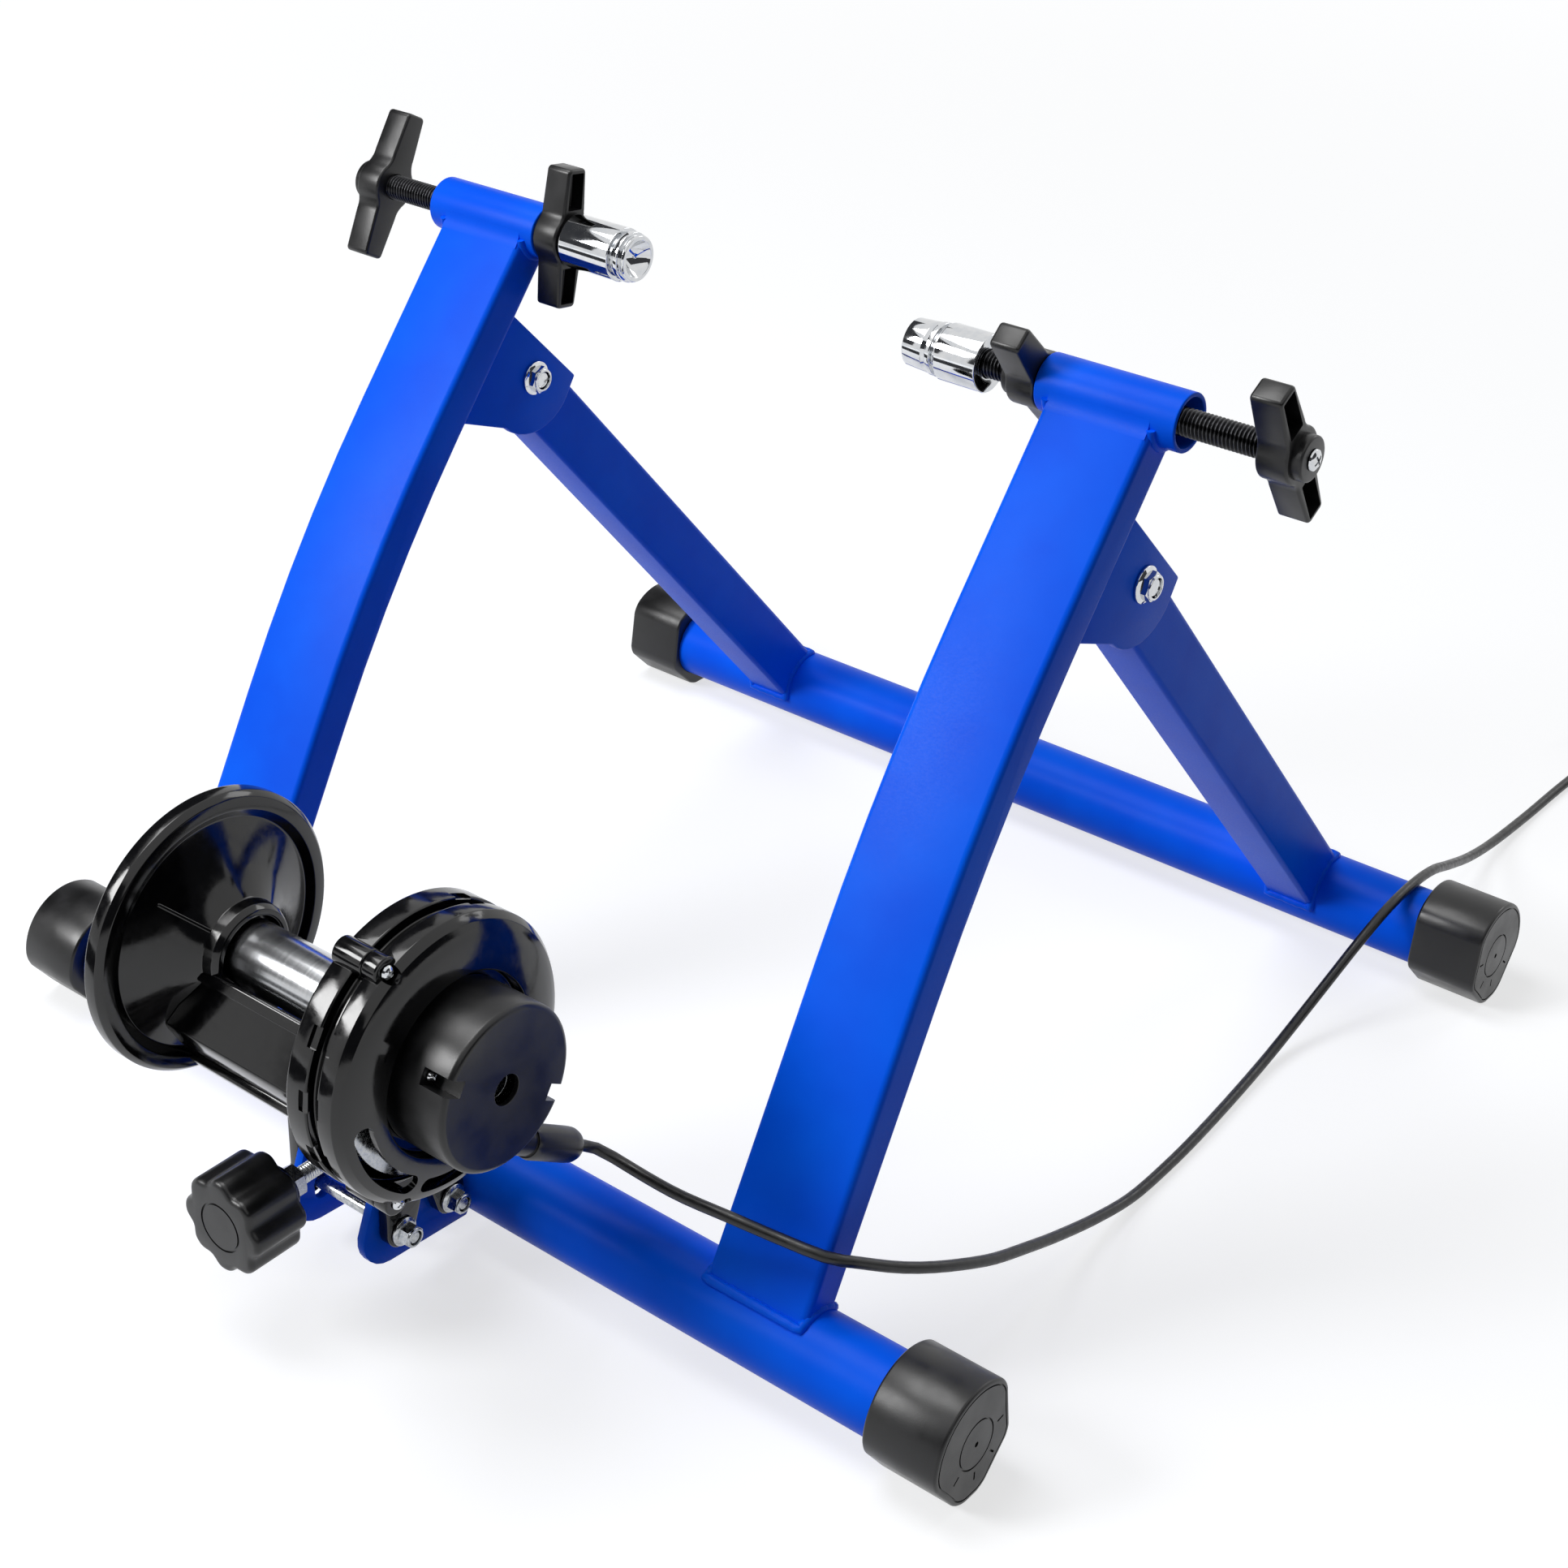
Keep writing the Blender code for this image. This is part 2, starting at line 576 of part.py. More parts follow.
def bracket_outline():
    y, z = CLAMP_Y, 0.0
    nose = arc((y - 268.5 * MM, z + 28.0 * MM), 16.0 * MM, -95, -190, 6)
    crown = arc((TRUNNION_Y, SPINDLE_Z), 11.5 * MM, 165, 25, 6)
    seat = [(y - 249.5 * MM, z + 53.0 * MM), (y - 228.0 * MM, z + 50.0 * MM)]
    saddle = arc(FRONT_RAIL, RAIL_R + GAP, 118, 232, 8)
    foot = [(y - 224.0 * MM, z + 8.6 * MM)]
    return nose + crown + seat + saddle + foot


def guide_slot(clear):
    """Slot in which the guide bolt follows the tilting unit, an arc about the unit's pivot."""
    reach = Vector(UNIT_GUIDE) - Vector(UNIT_PIVOT)
    base = degrees(atan2(reach.y, reach.x)) % 360
    half = UNIT_BOLT_R + clear
    low, high = base - 1, base + degrees(TILT_OUT) + 1
    outer = arc(UNIT_PIVOT, reach.length + half, low, high, 6)
    inner = arc(UNIT_PIVOT, reach.length - half, high, low, 6)
    ends = []
    for angle, turn in ((high, 0), (low, 180)):
        middle = (UNIT_PIVOT[0] + reach.length * cos(radians(angle)),
                  UNIT_PIVOT[1] + reach.length * sin(radians(angle)))
        ends.append(arc(middle, half, angle + turn, angle + turn + 180, 6)[1:-1])
    return outer + ends[0] + inner + ends[1]


def bracket_plate(side):
    outer = PLATE_OUTER[side]
    low, high = (outer - PLATE, outer) if side > 0 else (outer, outer + PLATE)
    holes = [arc(UNIT_PIVOT, UNIT_BOLT_R + RUN, 0, 336, 14),
             arc((TRUNNION_Y, SPINDLE_Z), UNIT_BOLT_R + GAP, 0, 336, 14), guide_slot(RUN)]
    slab(side_name(side) + "_bracket_plate", bracket_outline(), low, high, (0, 0, 0), AXIS_X, BLUE,
         holes=holes)


def spindle_trunnion():
    low, high = PLATE_OUTER[-1], PLATE_OUTER[1]
    inside = (low + PLATE + GAP, high - PLATE - GAP)
    profile = [(0, high), (UNIT_BOLT_R, high), (UNIT_BOLT_R, inside[1]), (TRUNNION_R, inside[1]),
               (TRUNNION_R, inside[0]), (UNIT_BOLT_R, inside[0]), (UNIT_BOLT_R, low), (0, low)]
    nut = turned("spindle_trunnion", profile, (0, TRUNNION_Y, SPINDLE_Z), AXIS_X, ZINC)
    cut(nut, turned("trunnion_thread", rod_profile(SPINDLE_R + RUN, -2 * TRUNNION_R, 2 * TRUNNION_R),
                    (SPINDLE_X, TRUNNION_Y, SPINDLE_Z), AXIS_Y, None, steps=16))


# Tension knob and spindle

def tension_spindle():
    start = KNOB_FRONT + 12 * MM
    end = WALL_FRONT - GAP
    profile = [(0, end), (1.5 * MM, end), (3.0 * MM, end - 1.0 * MM), (SPINDLE_R, end - 2.5 * MM),
               (SPINDLE_R, start), (0, start)]
    turned("tension_spindle", from_axis(profile, TRUNNION_Y), (SPINDLE_X, TRUNNION_Y, SPINDLE_Z),
           AXIS_Y, ZINC, steps=16)
    nut = slab("spindle_collar", polygon(7.6 * MM, 6, radians(20)), COLLAR_FRONT - TRUNNION_Y,
               COLLAR_BACK - TRUNNION_Y, (SPINDLE_X, TRUNNION_Y, SPINDLE_Z), AXIS_Y, ZINC,
               holes=[polygon(SPINDLE_R + RUN, 18)])
    return nut


def from_axis(profile, start):
    return [(r, h - start) for r, h in profile]


def tension_knob():
    """Star knob: a fluted body with a dished front disc and a short neck for the spindle."""
    at = (SPINDLE_X, KNOB_BACK, SPINDLE_Z)
    depth = KNOB_BACK - KNOB_FRONT
    star = []
    for i in range(KNOB_LOBES * 5):
        angle = 2 * pi * i / (KNOB_LOBES * 5)
        star.append(polar(KNOB_R - KNOB_FLUTE * (0.5 - 0.5 * cos(KNOB_LOBES * angle)) ** 1.5, angle))
    knob = slab("tension_knob", star, -depth, 0, at, AXIS_Y, BLACK)
    round_edges(knob, 2.0 * MM, angle=60)
    neck = [(0, COLLAR_FRONT - GAP - KNOB_BACK), (10.0 * MM, COLLAR_FRONT - GAP - KNOB_BACK),
            (13.0 * MM, 0), (13.0 * MM, -4 * MM), (0, -4 * MM)]
    join(knob, turned("knob_neck", neck, at, AXIS_Y, None))
    cut(knob, turned("knob_bore", rod_profile(SPINDLE_R + RUN, -depth + 12 * MM - GAP, 20 * MM), at,
                     AXIS_Y, None, steps=16),
        turned("knob_disc", ring_profile(11.4 * MM, 10.2 * MM, -depth - 2 * MM, -depth + 0.8 * MM),
               at, AXIS_Y, None, steps=20))


def polar(radius, angle):
    return (radius * cos(angle), radius * sin(angle))


# Resistance unit: left drum, yoke, and the housing of the magnetic brake on the right

def drum_profile(grow=0.0):
    """Outer side of the bell-shaped drum, from its hub to its rim."""
    return [(16.0 * MM - grow, -40.5 * MM + grow), (19.0 * MM + grow, -40.5 * MM + grow),
            (20.8 * MM + grow, -43.0 * MM + grow), (21.2 * MM + grow, -48.5 * MM + grow),
            (33.0 * MM + grow, -57.5 * MM + grow), (50.5 * MM, -65.0 * MM + grow),
            (54.5 * MM, DRUM_FACE + grow), (59.8 * MM, DRUM_FACE - 0.4 * MM + grow),
            (DRUM_R + grow, DRUM_FACE - 3.0 * MM), (DRUM_R + grow, DRUM_LEFT)]


def flywheel_housing():
    inside = [(DRUM_R - 2.5 * MM, DRUM_LEFT), (DRUM_R - 2.5 * MM, -67.4 * MM),
              (49.0 * MM, -67.4 * MM), (24.0 * MM, -56.5 * MM), (SHAFT_R + 1.0 * MM, -56.5 * MM),
              (SHAFT_R + 1.0 * MM, -47.0 * MM), (16.0 * MM, -47.0 * MM)]
    turned("flywheel_housing", drum_profile() + inside, (0, *UNIT), AXIS_X, GLOSS, steps=24)


def flywheel_cover():
    """Lid on the drum's far side, dished outwards over the flywheel."""
    top = DRUM_LEFT - GAP
    profile = [(0, -82.2 * MM), (41.0 * MM, -81.6 * MM), (48.5 * MM, -78.8 * MM), (56.0 * MM, top),
               (DRUM_R - 0.6 * MM, top), (DRUM_R - 3.0 * MM, top - 1.8 * MM),
               (50.0 * MM, -80.6 * MM), (42.0 * MM, -83.8 * MM), (0, -84.4 * MM)]
    turned("flywheel_cover", profile, (0, *UNIT), AXIS_X, GLOSS, steps=24)


def rotor():
    shaft = rod_profile(SHAFT_R, -80.0 * MM, 68.0 * MM, 0.6 * MM)
    turned("rotor_shaft", shaft, (0, *UNIT), AXIS_X, STEEL, steps=16)
    turned("roller", ring_profile(ROLLER_R, SHAFT_R + RUN, ROLLER_LEFT, ROLLER_RIGHT), (0, *UNIT),
           AXIS_X, STEEL, steps=24)
    turned("flywheel", ring_profile(FLYWHEEL_R, SHAFT_R + RUN, -78.6 * MM, -69.6 * MM), (0, *UNIT),
           AXIS_X, ZINC, steps=24)
    turned("brake_rotor", ring_profile(49.0 * MM, SHAFT_R + RUN, 57.6 * MM, 59.8 * MM), (0, *UNIT),
           AXIS_X, ALUMINIUM, steps=20)


def yoke_outline():
    y, z = UNIT
    outer = [(y - 18.0 * MM, z - 2.0 * MM), (y - 32.0 * MM, z - 27.5 * MM),
             (y - 31.2 * MM, z - 30.0 * MM), (y - 25.5 * MM, z - 40.0 * MM),
             (y - 17.5 * MM, z - 50.0 * MM), (y + 10.0 * MM, z - 56.0 * MM),
             (y + 53.0 * MM, z - 56.0 * MM)]
    inner = [(y + 53.0 * MM, z - 53.0 * MM), (y + 11.0 * MM, z - 53.0 * MM),
             (y - 15.5 * MM, z - 46.8 * MM), (y - 22.6 * MM, z - 38.0 * MM),
             (y - 28.6 * MM, z - 28.0 * MM), (y - 15.6 * MM, z - 4.4 * MM)]
    return outer + inner


def lug_outline():
    lobe = 8.0 * MM
    py, pz = UNIT_PIVOT
    gy, gz = UNIT_GUIDE
    top = UNIT[1] - 54.0 * MM
    front = arc(UNIT_GUIDE, lobe, 180, 345, 10)
    rear = arc(UNIT_PIVOT, lobe, 195, 360, 10)
    notch = [(gy + 11.5 * MM, gz + 9.5 * MM), (py - 11.2 * MM, pz + 9.5 * MM)]
    back = [(py + 6.0 * MM, pz + 25.0 * MM), (py + 6.0 * MM, top)]
    return [(gy - lobe, top)] + front + notch + rear + back


def lug_range(side):
    outer = PLATE_OUTER[side] + side * 0.5 * MM
    return sorted((outer, outer + side * LUG))


def roller_yoke():
    """Channel in front of and below the roller, with two lugs and the wall the spindle pushes."""
    yoke = slab("roller_yoke", from_origin(yoke_outline(), UNIT_PIVOT), -62.0 * MM,
                BRAKE_LEFT - GAP, (0, *UNIT_PIVOT), AXIS_X, GLOSS)
    for side in (1, -1):
        low, high = lug_range(side)
        join(yoke, slab(side_name(side) + "_lug", from_origin(lug_outline(), UNIT_PIVOT), low, high,
                        (0, *UNIT_PIVOT), AXIS_X, None))
    low, high = lug_range(-1)[0] + 1 * MM, lug_range(1)[1] - 1 * MM
    top = UNIT[1] - 54.5 * MM
    wall = [(WALL_FRONT, 56.0 * MM), (WALL_FRONT, top), (WALL_FRONT + WALL, top),
            (WALL_FRONT + WALL, 56.0 * MM)]
    join(yoke, slab("yoke_wall", from_origin(wall, UNIT_PIVOT), low, high, (0, *UNIT_PIVOT),
                    AXIS_X, None))
    bell = [(0, -38.0 * MM), (16.0 * MM - GAP, -38.0 * MM)] + drum_profile(GAP)[1:]
    bell = [(0, -40.5 * MM + GAP)] + drum_profile(GAP)[1:] + [(0, DRUM_LEFT)]
    cut(yoke, turned("drum_clearance", bell, (0, *UNIT), AXIS_X, None, steps=24),
        *(turned(name + "_hole", rod_profile(UNIT_BOLT_R + RUN, -60 * MM, 60 * MM), (0, *axis),
                 AXIS_X, None, steps=16)
          for name, axis in (("lug_pivot", UNIT_PIVOT), ("lug_guide", UNIT_GUIDE))))


def unit_bolt(name, axis):
    """Cross bolt through the lugs and plates, its head on the left and a flanged nut on the right."""
    low, high = lug_range(-1)[0], lug_range(1)[1]
    head = slab(name + "_bolt", polygon(7.5 * MM, 6, radians(12)), low - GAP - 5.3 * MM, low - GAP,
                (0, *axis), AXIS_X, ZINC)
    join(head, turned(name + "_shank", rod_profile(UNIT_BOLT_R, low - 3 * MM, high + 10.5 * MM,
                                                   0.7 * MM), (0, *axis), AXIS_X, None, steps=14))
    flange_nut(name + "_nut", high + GAP, axis, UNIT_BOLT_R, 6.4 * MM, ZINC)


def boss_place(angle):
    return (UNIT[0] + BOSS_RADIUS * cos(radians(angle)), UNIT[1] + BOSS_RADIUS * sin(radians(angle)))


def brake_backplate():
    profile = [(BRAKE_R, 55.4 * MM), (BRAKE_R, BRAKE_LEFT + 1.2 * MM),
               (BRAKE_R - 1.2 * MM, BRAKE_LEFT), (SHAFT_R + 1.0 * MM, BRAKE_LEFT),
               (SHAFT_R + 1.0 * MM, 47.2 * MM), (54.0 * MM, 47.2 * MM), (54.0 * MM, 60.4 * MM),
               (56.4 * MM, 60.4 * MM), (56.4 * MM, 55.4 * MM)]
    plate = turned("brake_backplate", profile, (0, *UNIT), AXIS_X, GLOSS, steps=24)
    for name, angle in BOSS_ANGLES.items():
        join(plate, turned("backplate_boss_" + name, rod_profile(BOSS_R, BRAKE_LEFT + 0.4 * MM,
                                                                 60.4 * MM),
                           (0, *boss_place(angle)), AXIS_X, None, steps=16))
    cut(plate, *(turned("backplate_thread_" + name, rod_profile(1.8 * MM, 50 * MM, 64 * MM),
                        (0, *boss_place(angle)), AXIS_X, None, steps=10)
                 for name, angle in BOSS_ANGLES.items()))


def vent(name, first, last, inner, outer):
    """A curved slot through the brake housing's face, with round ends."""
    middle, half = (inner + outer) / 2, (outer - inner) / 2
    ends = []
    for angle, turn in ((last, 0), (first, 180)):
        ends.append(arc(polar(middle, radians(angle)), half, angle + turn, angle + turn + 180, 4)[1:-1])
    loop = arc((0, 0), outer, first, last, 6) + ends[0] + arc((0, 0), inner, last, first, 6) + ends[1]
    return slab(name, loop, 64 * MM, 90 * MM, (0, *UNIT), AXIS_X, None)


def brake_housing():
    profile = [(38.6 * MM, 76.4 * MM), (50.0 * MM, 75.0 * MM), (58.2 * MM, 72.4 * MM),
               (BRAKE_R, 69.0 * MM), (BRAKE_R, 61.0 * MM), (58.4 * MM, 61.0 * MM),
               (58.4 * MM, 68.4 * MM), (49.0 * MM, 72.6 * MM), (40.6 * MM, 73.6 * MM),
               (40.6 * MM, 68.0 * MM), (10.3 * MM, 68.0 * MM), (10.3 * MM, 70.3 * MM),
               (38.6 * MM, 70.3 * MM)]
    shell = turned("brake_housing", profile, (0, *UNIT), AXIS_X, GLOSS, steps=24)
    for name, angle in BOSS_ANGLES.items():
        join(shell, turned("housing_boss_" + name, rod_profile(BOSS_R, 60.7 * MM, 68.0 * MM),
                           (0, *boss_place(angle)), AXIS_X, None, steps=16))
    cut(shell, vent("vent_front", -172, -124, 46.0 * MM, 54.5 * MM),
        vent("vent_rear", -111, -84, 48.0 * MM, 54.5 * MM),
        *(turned("housing_hole_" + name, [(0, 75 * MM), (3.8 * MM, 75 * MM), (3.8 * MM, 68 * MM),
                                          (1.9 * MM, 68 * MM), (1.9 * MM, 55 * MM), (0, 55 * MM)],
                 (0, *boss_place(angle)), AXIS_X, None, steps=12)
          for name, angle in BOSS_ANGLES.items()))


def pan_screw(name, face, length, place, head_r=3.0 * MM, shank_r=1.5 * MM):
    """Cross-recessed screw along X, its head standing on the plane X = face."""
    profile = [(0, face + 2.0 * MM), (head_r * 0.6, face + 2.0 * MM), (head_r, face + 0.8 * MM),
               (head_r, face), (shank_r, face), (shank_r, face - length), (0, face - length)]
    screw = turned(name, profile, (0, *place), AXIS_X, CHROME, steps=10)
    cut(screw, slab(name + "_recess", cross(0.6 * head_r, 0.4 * MM, 20), face + 0.9 * MM,
                    face + 3 * MM, (0, *place), AXIS_X, None))


def slot_block(name, radius_low, radius_high, width, low, high, angle):
    half = width / 2
    loop = [(radius_low, -half), (radius_high, -half), (radius_high, half), (radius_low, half)]
    made = slab(name, loop, low, high, (0, *UNIT), AXIS_X, None)
    made.rotation_euler.rotate_axis("Z", radians(angle))
    return made


CAP_SLOTS = {"front": 151.0, "rear": -31.0}
CAP_SEAT = 87.0 * MM
CAP_BOSS = 30.0 * MM


def actuator_cap():
    base = 70.3 * MM + GAP
    wall = 2.2 * MM
    profile = [(CAP_R, CAP_FRONT - 2.6 * MM), (CAP_R, base), (CAP_R - wall, base),
               (CAP_R - wall, CAP_FRONT - wall - 1.0 * MM), (CAP_R - wall - 1.0 * MM, CAP_FRONT - wall),
               (6.6 * MM, CAP_FRONT - wall), (6.6 * MM, CAP_FRONT), (CAP_R - 2.4 * MM, CAP_FRONT),
               (CAP_R - 0.8 * MM, CAP_FRONT - 0.8 * MM)]
    cap = turned("actuator_cap", profile, (0, *UNIT), AXIS_X, BLACK, steps=24)
    for name, angle in CAP_SLOTS.items():
        join(cap, slot_block("cap_boss_" + name, 25.0 * MM, CAP_R - 1 * MM, 11 * MM, base + 2 * MM,
                             CAP_FRONT - 1 * MM, angle))
        cut(cap, slot_block("cap_slot_" + name, 26.8 * MM, CAP_R + 3 * MM, 7 * MM, CAP_SEAT,
                            CAP_FRONT + 2 * MM, angle))
        place = cap_boss(angle)
        cut(cap, turned("cap_hole_" + name, rod_profile(1.6 * MM, base, CAP_SEAT + 1 * MM), (0, *place),
                        AXIS_X, None, steps=10))
    cut(cap, gland_turn("gland_mouth", rod_profile(6.3 * MM, 12 * MM, 45 * MM), None))
    pan_screw("cap_screw", CAP_SEAT + GAP, 10 * MM, cap_boss(CAP_SLOTS["front"]), 2.4 * MM, 1.2 * MM)


def cap_boss(angle):
    return (UNIT[0] + CAP_BOSS * cos(radians(angle)), UNIT[1] + CAP_BOSS * sin(radians(angle)))


def gland_line(reach):
    """A point on the cable's line where it leaves the cable drum, below and behind the axis."""
    along = Vector((cos(GLAND_DROP), -sin(GLAND_DROP)))
    below = Vector((along.y, -along.x))
    place = Vector(UNIT) + CABLE_DRUM_R * below + reach * along
    return (GLAND_X, place.x, place.y)


def gland_turn(name, profile, mat, steps=14):
    made = turned(name, profile, gland_line(0), (0, 0, 0), mat, steps=steps)
    made.rotation_euler = Vector((0, cos(GLAND_DROP), -sin(GLAND_DROP))).to_track_quat("Z", "Y").to_euler()
    return made


def cable_gland():
    """Stub in the cap's side and a soft tapered boot, bored for the cable."""
    end = GLAND_END
    profile = [(7.0 * MM, end - 1.6 * MM), (7.5 * MM, end - 5.0 * MM), (7.5 * MM, 50.5 * MM),
               (6.8 * MM, 48.0 * MM), (6.0 * MM, 48.0 * MM), (6.0 * MM, 18.0 * MM),
               (CABLE_R + GAP, 18.0 * MM), (CABLE_R + GAP, end), (5.4 * MM, end)]
    gland_turn("cable_gland", profile, BLACK)


def magnet_carrier():
    """Turned by the cable: a magnet plate on a sleeve that carries the cable drum in the cap."""
    bore = SHAFT_R + 1.2 * MM
    profile = [(10.0 * MM, 95.0 * MM), (10.0 * MM, 89.0 * MM), (24.0 * MM, 89.0 * MM),
               (22.4 * MM, 87.0 * MM), (22.4 * MM, 83.0 * MM), (24.0 * MM, 81.0 * MM),
               (10.0 * MM, 81.0 * MM),
               (10.0 * MM, 66.6 * MM), (50.0 * MM, 66.6 * MM), (50.0 * MM, 64.6 * MM),
               (bore, 64.6 * MM), (bore, 95.0 * MM)]
    turned("magnet_carrier", profile, (0, *UNIT), AXIS_X, ZINC)
    turned("magnet_ring", ring_profile(47.0 * MM, 33.0 * MM, 61.0 * MM, 64.3 * MM), (0, *UNIT), AXIS_X,
           MAGNET)
    turned("fixed_magnet_ring", ring_profile(47.0 * MM, 33.0 * MM, 47.5 * MM, 56.4 * MM), (0, *UNIT),
           AXIS_X, MAGNET, steps=20)


# Cable: from the gland, past the right leg and over the rear rail, to a coil and the shifter

def cable_points():
    """Chosen points of the route, in metres. The cable leaves the boot, lies across the front of
    the right leg, drops to the floor behind it and climbs over the rear rail."""
    exit_point, straight, beyond = (gland_line(GLAND_END + reach)
                                    for reach in (GAP, GAP + 2 * CABLE_R, 14 * MM))
    y = CLAMP_Y
    return [exit_point, straight, beyond,
            (0.0935, y - 0.2175, 0.0765), (0.1080, y - 0.2165, 0.0745), (0.1300, y - 0.2185, 0.0765),
            (0.1556, y - 0.2182, 0.0790), (0.1760, y - 0.2127, 0.0760), (0.1968, y - 0.2083, 0.0750),
            (0.2046, y - 0.1950, 0.0680), (0.2110, y - 0.1800, 0.0600), (0.2165, y - 0.1650, 0.0535),
            (0.2205, y - 0.1480, 0.0465), (0.2228, y - 0.1280, 0.0380), (0.2232, y - 0.1030, 0.0285),
            (0.2230, y - 0.0790, 0.0195), (0.2232, y - 0.0478, 0.0100), (0.2236, y - 0.0180, 0.0040),
            (0.2230, y + 0.0137, 0.0026), (0.2218, y + 0.0420, 0.0026), (0.2190, y + 0.0790, 0.0026),
            (0.2165, y + 0.1144, 0.0045), (0.2165, y + 0.1430, 0.0120), (0.2195, y + 0.1640, 0.0245),
            (0.2230, y + 0.1850, 0.0380), (0.2250, y + 0.2080, 0.0470), (0.2250, y + 0.2340, 0.0487),
            (0.2230, y + 0.2600, 0.0435), (0.2190, y + 0.2900, 0.0310), (0.2145, y + 0.3260, 0.0170),
            (0.2110, y + 0.3640, 0.0070), (0.2100, y + 0.4086, 0.0029), (0.2104, y + 0.4500, 0.0026),
            coil_start(24 * MM), coil_start(GAP + 4 * CABLE_R), coil_start(GAP)]


def coil_start(before):
    """A point on the cable's straight line, some way before the coil's first end."""
    return (COIL_CENTRE[0] - coil_radius(0), COIL_CENTRE[1] - 2 * CABLE_R - before, CABLE_R + 0.1 * MM)


def smooth(points, spacing):
    """Points at even steps on a Catmull-Rom curve through the given ones."""
    dense = []
    for i in range(len(points) - 1):
        p0 = Vector(points[max(i - 1, 0)])
        p1, p2 = Vector(points[i]), Vector(points[i + 1])
        p3 = Vector(points[min(i + 2, len(points) - 1)])
        for k in range(16):
            t = k / 16
            dense.append(0.5 * (2 * p1 + (p2 - p0) * t + (2 * p0 - 5 * p1 + 4 * p2 - p3) * t * t
                                + (3 * p1 - p0 - 3 * p2 + p3) * t ** 3))
    dense.append(Vector(points[-1]))
    length = sum((b - a).length for a, b in zip(dense, dense[1:]))
    count = max(2, round(length / spacing))
    result, walked, want = [dense[0]], 0.0, length / count
    for a, b in zip(dense, dense[1:]):
        step = (b - a).length
        while step and walked + step >= want * len(result) and len(result) < count:
            result.append(a + (b - a) * ((want * len(result) - walked) / step))
        walked += step
    result.append(dense[-1])
    return result, length


def coil_radius(turn):
    """Spirals in at a steady rate to the middle turn, then out again."""
    middle = COIL_TURNS / 2
    return COIL_MIDDLE + COIL_PITCH * (abs(turn - middle) - middle / 2)


def coil_points():
    count = COIL_TURNS * POINTS_PER_TURN
    points = []
    for i in range(count + 1):
        turn = i / POINTS_PER_TURN
        climb = min(max((turn - COIL_TURNS / 2 + 0.25) / 0.5, 0.0), 1.0)
        angle = pi - 2 * pi * turn
        points.append(Vector((COIL_CENTRE[0] + coil_radius(turn) * cos(angle),
                              COIL_CENTRE[1] + coil_radius(turn) * sin(angle),
                              CABLE_R + 0.1 * MM + COIL_PITCH * climb)))
    straight = Vector((0, 2 * CABLE_R, 0))
    return [points[0] - straight] + points + [points[-1] + 4 * straight]


def least_gap(points):
    """Smallest space between stretches of one tube that are over a quarter turn apart."""
    away = POINTS_PER_TURN // 4
    return min((points[i] - points[j]).length - 2 * CABLE_R
               for i in range(len(points)) for j in range(i + away, len(points)))


def tube(name, points, radius, mat, resolution):
    curve = bpy.data.curves.new(name, "CURVE")
    curve.dimensions = "3D"
    curve.bevel_depth = radius
    curve.bevel_resolution = resolution
    curve.use_fill_caps = True
    spline = curve.splines.new("POLY")
    spline.points.add(len(points) - 1)
    for point, place in zip(spline.points, points):
        point.co = (*place, 1)
    made = bpy.data.objects.new(name, curve)
    curve.materials.append(mat)
    parts.objects.link(made)
    return made


def cable():
    stretch, length = smooth(cable_points(), 15 * MM)
    coil = coil_points()
    coil_length = sum((b - a).length for a, b in zip(coil, coil[1:]))
    tube("brake_cable", stretch, CABLE_R, RUBBER, 2)
    tube("brake_cable_coil", coil, CABLE_R, RUBBER, 1)
    print("cable: %.3f m along its route, %.3f m in its coil, least gap in the coil %.2f mm"
          % (length, coil_length, least_gap(coil) * 1000))


# Handlebar shifter at the cable's end, lying on its rim beside the coil

SHIFTER_R = 17.2 * MM
SHIFTER_HALF = 6.0 * MM
SHIFTER_REACH = 34.0 * MM


def shifter_place():
    end = coil_points()[-1]
    return (end.x, end.y + 19.5 * MM, SHIFTER_R)


